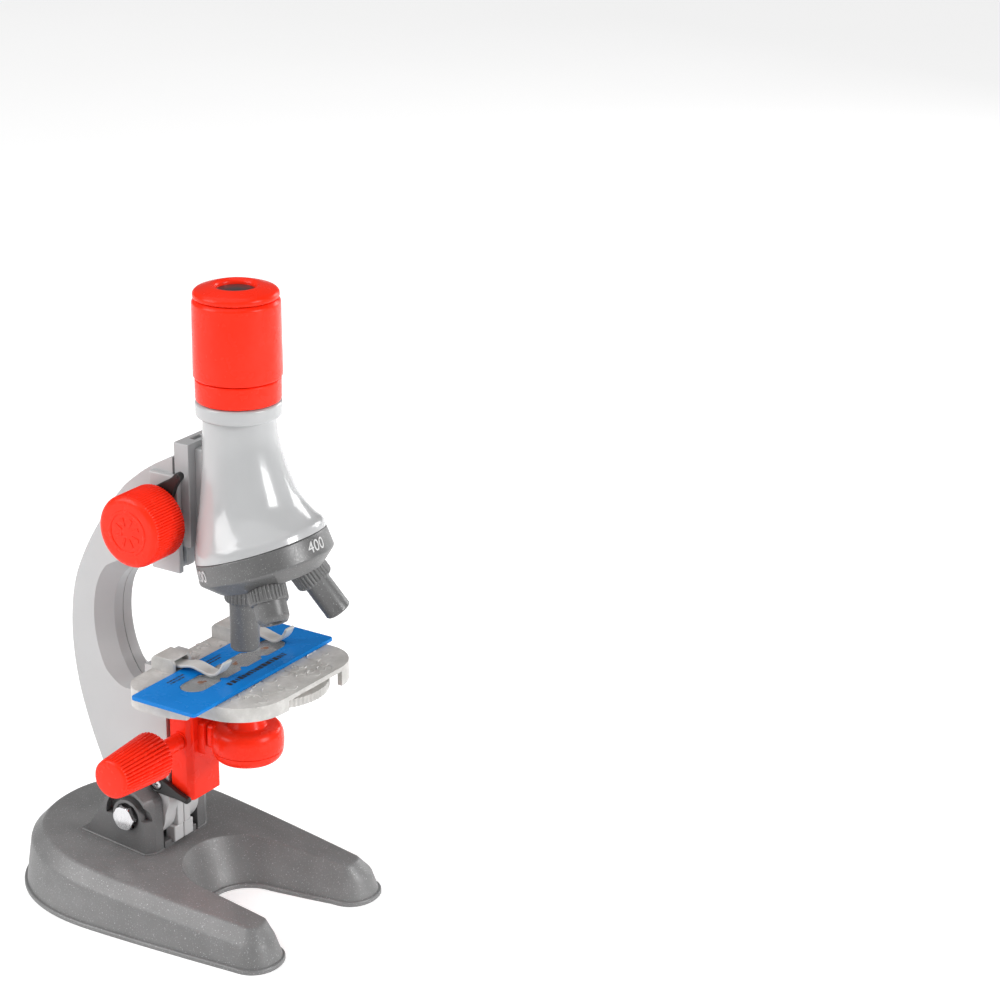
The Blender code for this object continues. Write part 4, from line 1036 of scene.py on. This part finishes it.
def make_turret():
    rim = RIM_DISTANCE + 0.2
    profile = [(1.4, 0.0), (RIM_RADIUS - 0.2, 0.0), (RIM_RADIUS, 0.3), (RIM_RADIUS + 0.6, 6.7),
               (RIM_RADIUS + 0.2, 7.3), (17.6, 11.5), (17.0, 11.8), (3.6, 12.5), (1.4, 12.5)]
    turret = add_piece("turret_body",
                       lathe(soften(profile, 0.6), APEX + TURRET_AXIS * rim, TURRET_AXIS, 128),
                       TURRET_GREY, "turret", ("turret_disc",), sharp=40.0)
    kinds = {
        "objective_high": (0.0, 4.9, 58.8, 4.6, 3.0),
        "objective_medium": (math.radians(120.0), 4.5, 55.0, 4.3, 3.0),
        "objective_low": (math.radians(-120.0), 5.4, 48.4, 4.5, 1.6),
    }
    labels = {"objective_high": "400", "objective_medium": "200", "objective_low": "100"}
    for name, (turn, radius, tip, tip_radius, nose) in kinds.items():
        axis = objective_axis(turn)
        combine(turret, rod(4.2, APEX + axis * 20, axis, 30.0, 48))
        combine(turret, rod(6.8, APEX + axis * 34.6, axis, 20.0, 64))
        profile = [(3.0, 28.0), (3.9, 28.0), (3.9, 34.9), (6.0, 34.9, 0.0), (6.45, 35.3, 0.25),
                   (6.5, 35.8, 0.45), (6.5, 40.8, 0.45), (6.4, 41.3, 0.25), (6.0, 41.8, 0.0),
                   (radius + 0.1, 41.85), (radius, 42.2), (radius, tip - nose - 0.4),
                   (radius - 0.05, tip - nose), (tip_radius + 0.25, tip - 0.5),
                   (tip_radius - 0.15, tip), (2.7, tip), (2.6, tip - 0.4), (2.6, tip - 3.0),
                   (3.0, tip - 3.0)]
        add_piece(name + "_barrel", lathe(profile, APEX, axis, 270, ribs(30, 2.2)), TURRET_GREY,
                  "turret", (name,), sharp=38.0)
        front = (APEX + axis * 40.0) - RIM_CENTRE
        level, other = axis_frame(TURRET_AXIS)
        angle = math.atan2(front.dot(other), front.dot(level)) + math.pi
        number = curved_number(labels[name], angle, RIM_RADIUS + 0.32, rim + 3.6, 5.4, 0.14)
        add_piece(name + "_number", number, NUMBER_GREY, "turret", (), sharp=30.0)
    screw_head("turret_screw_head", APEX + TURRET_AXIS * 36.1, TURRET_AXIS, 3.0, "tube",
               "turret_pivot_screw", 13.0)


# ---------------------------------------------------------------- focusing knobs

def knob_emboss(centre, side, distance, radius):
    """A plain ring and a fan of short rays, raised on the knob's face."""
    axis = X_AXIS * side
    shapes = [lathe([(radius - 1.1, -0.2), (radius, -0.2), (radius, 0.14), (radius - 0.2, 0.2),
                     (radius - 0.9, 0.2), (radius - 1.1, 0.14)], centre + axis * distance, axis, 96)]
    level, other = axis_frame(axis)
    for i in range(8):
        a = 2.0 * math.pi * (i + 0.5) / 8
        out = math.cos(a) * level + math.sin(a) * other
        across = -math.sin(a) * level + math.cos(a) * other
        near, far = radius * 0.28, radius * 0.68
        rings = []
        for height in (-0.2, 0.2):
            rings.append([centre + axis * (distance + height) + out * near + across * 0.35,
                          centre + axis * (distance + height) + out * far + across * 0.7,
                          centre + axis * (distance + height) + out * far - across * 0.7,
                          centre + axis * (distance + height) + out * near - across * 0.35])
        shapes.append(loft(rings))
    return merge(*shapes)


def make_focus_drive():
    centre = Vector((0.0, FOCUS_Y, FOCUS_Z))
    r = 12.3
    length = 15.2
    for side, label in ((-1, "left"), (1, "right")):
        profile = [(0, 11.6), (1.8, 11.6), (1.8, 0.0), (r - 1.4, 0.0), (r - 0.6, 0.25, 0.2),
                   (r, 0.8, 0.42), (r, length - 2.2, 0.42), (r - 0.1, length - 1.6, 0.25),
                   (r - 0.4, length - 1.0, 0.0), (r - 0.9, length - 0.45), (r - 1.7, length - 0.1),
                   (r - 2.5, length), (0, length)]
        base = centre + X_AXIS * side * 14.0
        add_piece(f"focus_knob_{label}_body", lathe(profile, base, X_AXIS * side, 480, ribs(80, 2.0)),
                  RED, "focus_drive", (f"focus_knob_{label}",), sharp=38.0)
        add_piece(f"focus_knob_{label}_emboss", knob_emboss(centre, side, 29.2, 7.6), RED,
                  "focus_drive", (), bevel=0.1, segments=2)


# ---------------------------------------------------------------- lamp and its carriage

def make_carriage():
    low, high = limits("lamp_carriage")
    half = 8.6
    front = 18.0
    back = 26.4
    neck = ARM_FRONT - 2.5
    outer = [(-half, back), (-half, front + 1.8), (-half + 1.8, front), (half - 1.8, front),
             (half, front + 1.8), (half, back)]
    inner = [(4.7, back), (4.7, neck + 0.3), (6.4, neck + 0.3), (6.4, front + 1.6), (-6.4, front + 1.6),
             (-6.4, neck + 0.3), (-4.7, neck + 0.3), (-4.7, back)]
    block = add_piece("carriage_channel", prism_z(outer + inner, low.z, high.z), RED, "carriage",
                      ("lamp_carriage",))
    combine(block, rod(1.4, (-12, LAMP_SHAFT.y, LAMP_SHAFT.z), X_AXIS, 24.0, 32))
    round_edges(block, 0.4, 3, 25.0)
    lug = rounded_rectangle(-5.3, 5.3, LAMP_Z - 6.0, LAMP_Z + 6.0, 1.4)
    add_piece("lamp_lug", loft([[(x, y, z) for x, z in lug] for y in (14.4, front + 0.6)]), RED,
              "carriage", (), bevel=0.5, segments=4)
    cheek = rounded_rectangle(-7.4, 7.4, LAMP_Z - 7.4, LAMP_Z + 9.0, 0.8)
    add_piece("lug_backing", loft([[(x, y, z) for x, z in cheek] for y in (17.3, front + 0.6)]), RED,
              "carriage", (), bevel=0.25)
    boss = lathe([(1.5, 0.0), (2.9, 0.0), (3.3, 0.4), (3.3, 0.7), (1.5, 0.7)], (-8.4, *LAMP_SHAFT.yz),
                 -X_AXIS, 48)
    add_piece("shaft_boss", boss, RED, "carriage", ())


def make_lamp_knob():
    profile = [(0, 9.6), (1.4, 9.6), (1.4, 0.0), (7.0, 0.0), (8.0, 0.3, 0.3), (8.5, 0.9, 0.75),
               (6.95, 21.3, 0.6), (6.85, 21.8, 0.2), (6.7, 22.3), (6.3, 22.75), (5.7, 22.9), (0, 22.9)]
    add_piece("lamp_knob_body", lathe(profile, LAMP_SHAFT - X_AXIS * 22.0, -X_AXIS, 288, ribs(36, 2.2)),
              RED, "lamp_drive", ("lamp_knob",), sharp=38.0)
    shaft = [(0, -9.2), (1.1, -9.2), (1.1, 9.3), (2.6, 9.4), (2.9, 9.8), (2.9, 21.3), (2.6, 21.6),
             (1.1, 21.7), (1.1, 31.0), (0, 31.0)]
    add_piece("lamp_shaft", lathe(shaft, LAMP_SHAFT, -X_AXIS, 48), RED, "lamp_drive",
              ("lamp_pinion_shaft",))


def make_lamp():
    seam = 61.4
    drum = [(0, 66.4), (4.4, 66.4), (2.3, 75.4), (2.3, 77.7), (2.6, 78.0), (3.1, 78.0), (3.4, 77.6),
            (6.3, 69.9), (6.7, 69.5), (8.8, 69.7), (10.0, 69.6), (10.8, 69.3), (11.4, 68.6),
            (11.9, 67.5), (12.2, 66.0), (12.3, 64.0), (12.2, 62.4), (12.1, seam + 0.1), (11.95, seam),
            (10.0, seam), (10.0, 65.4), (0, 65.4)]
    add_piece("lamp_drum", lathe(soften(drum, 0.35, 3), (0, 0, 0), Z_AXIS, 128), RED, "lamp",
              ("lamp_housing",), sharp=50.0)
    arm = [[(x, y, z) for x, z in rounded_rectangle(-4.3, 4.3, LAMP_Z - 3.4, LAMP_Z + 5.2, 1.5)]
           for y in (11.3, 14.1)]
    add_piece("lamp_neck", loft(arm), RED, "lamp", (), bevel=0.4, segments=4)
    bezel = [(8.6, 58.3), (8.9, 57.9), (9.8, 57.7), (10.5, 58.0), (11.1, 58.6), (11.7, 59.6),
             (11.95, 60.6), (12.05, seam - 0.25), (11.9, seam - 0.12), (8.6, seam - 0.12)]
    add_piece("mirror_bezel", lathe(soften(bezel, 0.3, 3), (0, 0, 0), Z_AXIS, 128), RED, "lamp",
              ("lamp_bezel",), sharp=50.0)
    glass = [(0, 58.6), (8.0, 58.6), (8.4, 58.8), (8.4, 59.6), (0, 59.6)]
    add_piece("mirror_glass_disc", lathe(glass, (0, 0, 0), Z_AXIS, 96), MIRROR, "lamp",
              ("lamp_mirror",))
    led = [(0, 67.2), (2.2, 67.2), (2.2, 67.8), (2.0, 67.9), (2.0, 75.4), (1.8, 76.2), (1.2, 76.9),
           (0, 77.2)]
    add_piece("led_dome", lathe(led, (0, 0, 0), Z_AXIS, 48), CLEAR, "lamp", ("lamp_led",))


# ---------------------------------------------------------------- levers

def make_lever(label, body, root, tip, radii, x_face):
    """A pointer whose two sides curve in between a round root and a small round tip."""
    root = Vector(root)
    tip = Vector(tip)
    root_radius, tip_radius = radii
    along = (tip - root).normalized()
    across = Vector((-along.y, along.x))
    angle = math.degrees(math.atan2(along.y, along.x))
    outline = arc(root, root_radius, angle + 62.0, angle + 298.0, 40)
    span = (tip - root).length
    waist = [(0.50, 0.62), (0.66, 0.45), (0.82, 0.37)]
    outline += [tuple(root + along * span * t - across * root_radius * w) for t, w in waist]
    outline += arc(tip, tip_radius, angle - 80.0, angle + 80.0, 12)
    outline += [tuple(root + along * span * t + across * root_radius * w) for t, w in reversed(waist)]
    x0 = x_face - 0.3
    x1 = x0 - 2.2
    lever = add_piece(f"{label}_lever_pointer", prism_x(outline, x0, x1), BLACK, body,
                      (f"{label}_lever",))
    combine(lever, rod(2.3, (x1 + 1.0, root.x, root.y), -X_AXIS, 3.0, 48))
    round_edges(lever, 0.45, 4, 25.0)
    pip = [(0, -0.3), (0.45, -0.3), (0.45, 0.1), (0.3, 0.25), (0, 0.3)]
    add_piece(f"{label}_lever_pip", lathe(pip, (x1, tip.x, tip.y), -X_AXIS, 24), BLACK, body, ())
    screw_head(f"{label}_lever_screw_head", (x1 + 0.15, root.x, root.y), -X_AXIS, 2.0, "arm",
               f"{label}_lever_screw", 5.0)


def carry_over(materials):
    """CAD parts whose shape is right keep it and get a detailed material."""
    for node, mat in materials.items():
        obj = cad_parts[node]
        obj.data.materials.clear()
        obj.data.materials.append(mat)


# ---------------------------------------------------------------- studio

LEFT_POWER = 12.5
FRONT_POWER = 11.5
RIGHT_POWER = 5.0
SKY_ENERGY = 1.35
SKY_SPREAD = math.radians(80.0)
WORLD_STRENGTH = 0.16
FLOOR_REACH = 12.0


def add_area(name, place, target, size, power):
    data = bpy.data.lights.new(name, "AREA")
    data.shape = "SQUARE"
    data.size = size
    data.energy = power
    light = bpy.data.objects.new(name, data)
    light.location = place
    light.rotation_euler = (Vector(target) - Vector(place)).to_track_quat("-Z", "Y").to_euler()
    bpy.context.collection.objects.link(light)


def make_studio():
    reach = FLOOR_REACH
    points = [(-reach, -reach, 0.0), (reach, -reach, 0.0), (reach, reach, 0.0), (-reach, reach, 0.0)]
    mesh = bpy.data.meshes.new("floor")
    mesh.from_pydata(points, [], [(0, 1, 2, 3)])
    mesh.materials.append(make_floor())
    floor = bpy.data.objects.new("floor", mesh)
    bpy.context.collection.objects.link(floor)
    target = (0.0, 0.0, 0.1)
    add_area("left_box", (-0.95, 0.75, 0.75), target, 0.8, LEFT_POWER)
    add_area("front_box", (0.12, -1.25, 0.62), target, 0.45, FRONT_POWER)
    add_area("right_box", (1.15, -0.3, 0.45), target, 0.5, RIGHT_POWER)
    sky = bpy.data.lights.new("soft_top", "SUN")
    sky.energy = SKY_ENERGY
    sky.angle = SKY_SPREAD
    lamp = bpy.data.objects.new("soft_top", sky)
    lamp.rotation_euler = (math.radians(-12.0), math.radians(-14.0), 0.0)
    bpy.context.collection.objects.link(lamp)
    world = bpy.data.worlds.new("studio")
    world.use_nodes = True
    world.node_tree.nodes["Background"].inputs["Color"].default_value = (1.0, 1.0, 1.0, 1.0)
    world.node_tree.nodes["Background"].inputs["Strength"].default_value = WORLD_STRENGTH
    bpy.context.scene.world = world
    bpy.context.scene.view_settings.view_transform = "Standard"


def make_camera():
    """A long lens from the front left, a little above the stage."""
    azimuth = math.radians(-57.55)
    elevation = math.radians(20.28)
    roll = math.radians(0.455)
    place = Vector((-661.5, -520.0, 459.4))
    back = Vector((math.sin(azimuth) * math.cos(elevation), -math.cos(azimuth) * math.cos(elevation),
                   math.sin(elevation)))
    level = Vector((math.cos(azimuth), math.sin(azimuth), 0.0))
    upright = back.cross(level)
    right = level * math.cos(roll) + upright * math.sin(roll)
    up = upright * math.cos(roll) - level * math.sin(roll)
    data = bpy.data.cameras.new("camera")
    data.lens = 99.1
    data.sensor_width = 36.0
    camera = bpy.data.objects.new("camera", data)
    turn = Matrix((right, up, back)).transposed().to_4x4()
    camera.matrix_world = Matrix.Translation(to_row(place)) @ turn
    bpy.context.collection.objects.link(camera)
    bpy.context.scene.camera = camera


make_base()
make_hinge_bolt()
make_arm()
make_stage_parts()
make_slide()
make_tube()
make_eyepiece()
make_turret()
make_focus_drive()
make_carriage()
make_lamp_knob()
make_lamp()
make_lever("lower", "lever_low", (31.2, 43.4), (18.4, 40.4), (3.2, 1.1), -ARM_HALF)
make_lever("upper", "lever_top", (23.0, 149.8), (15.4, 158.1), (4.0, 1.4), -HEAD_HALF)
carry_over({
    "base_bottom_cover": BASE_GREY,
    "base_cover_screw_front_left": STEEL,
    "base_cover_screw_front_right": STEEL,
    "base_cover_screw_rear": STEEL,
    "lamp_rack": ARM_GREY,
    "focus_rack": TUBE_GREY,
    "focus_shaft": STEEL,
    "focus_pinion": SMOOTH_GREY,
    "field_lens": LENS,
    "nose_plate": SMOOTH_GREY,
    "eye_lens": LENS,
    "eye_lens_ring": SMOOTH_GREY,
    "objective_high_lens": LENS,
    "objective_medium_lens": LENS,
    "objective_low_lens": LENS,
    "lamp_cell": STEEL,
    "lamp_led_lead": STEEL,
})
make_studio()
make_camera()
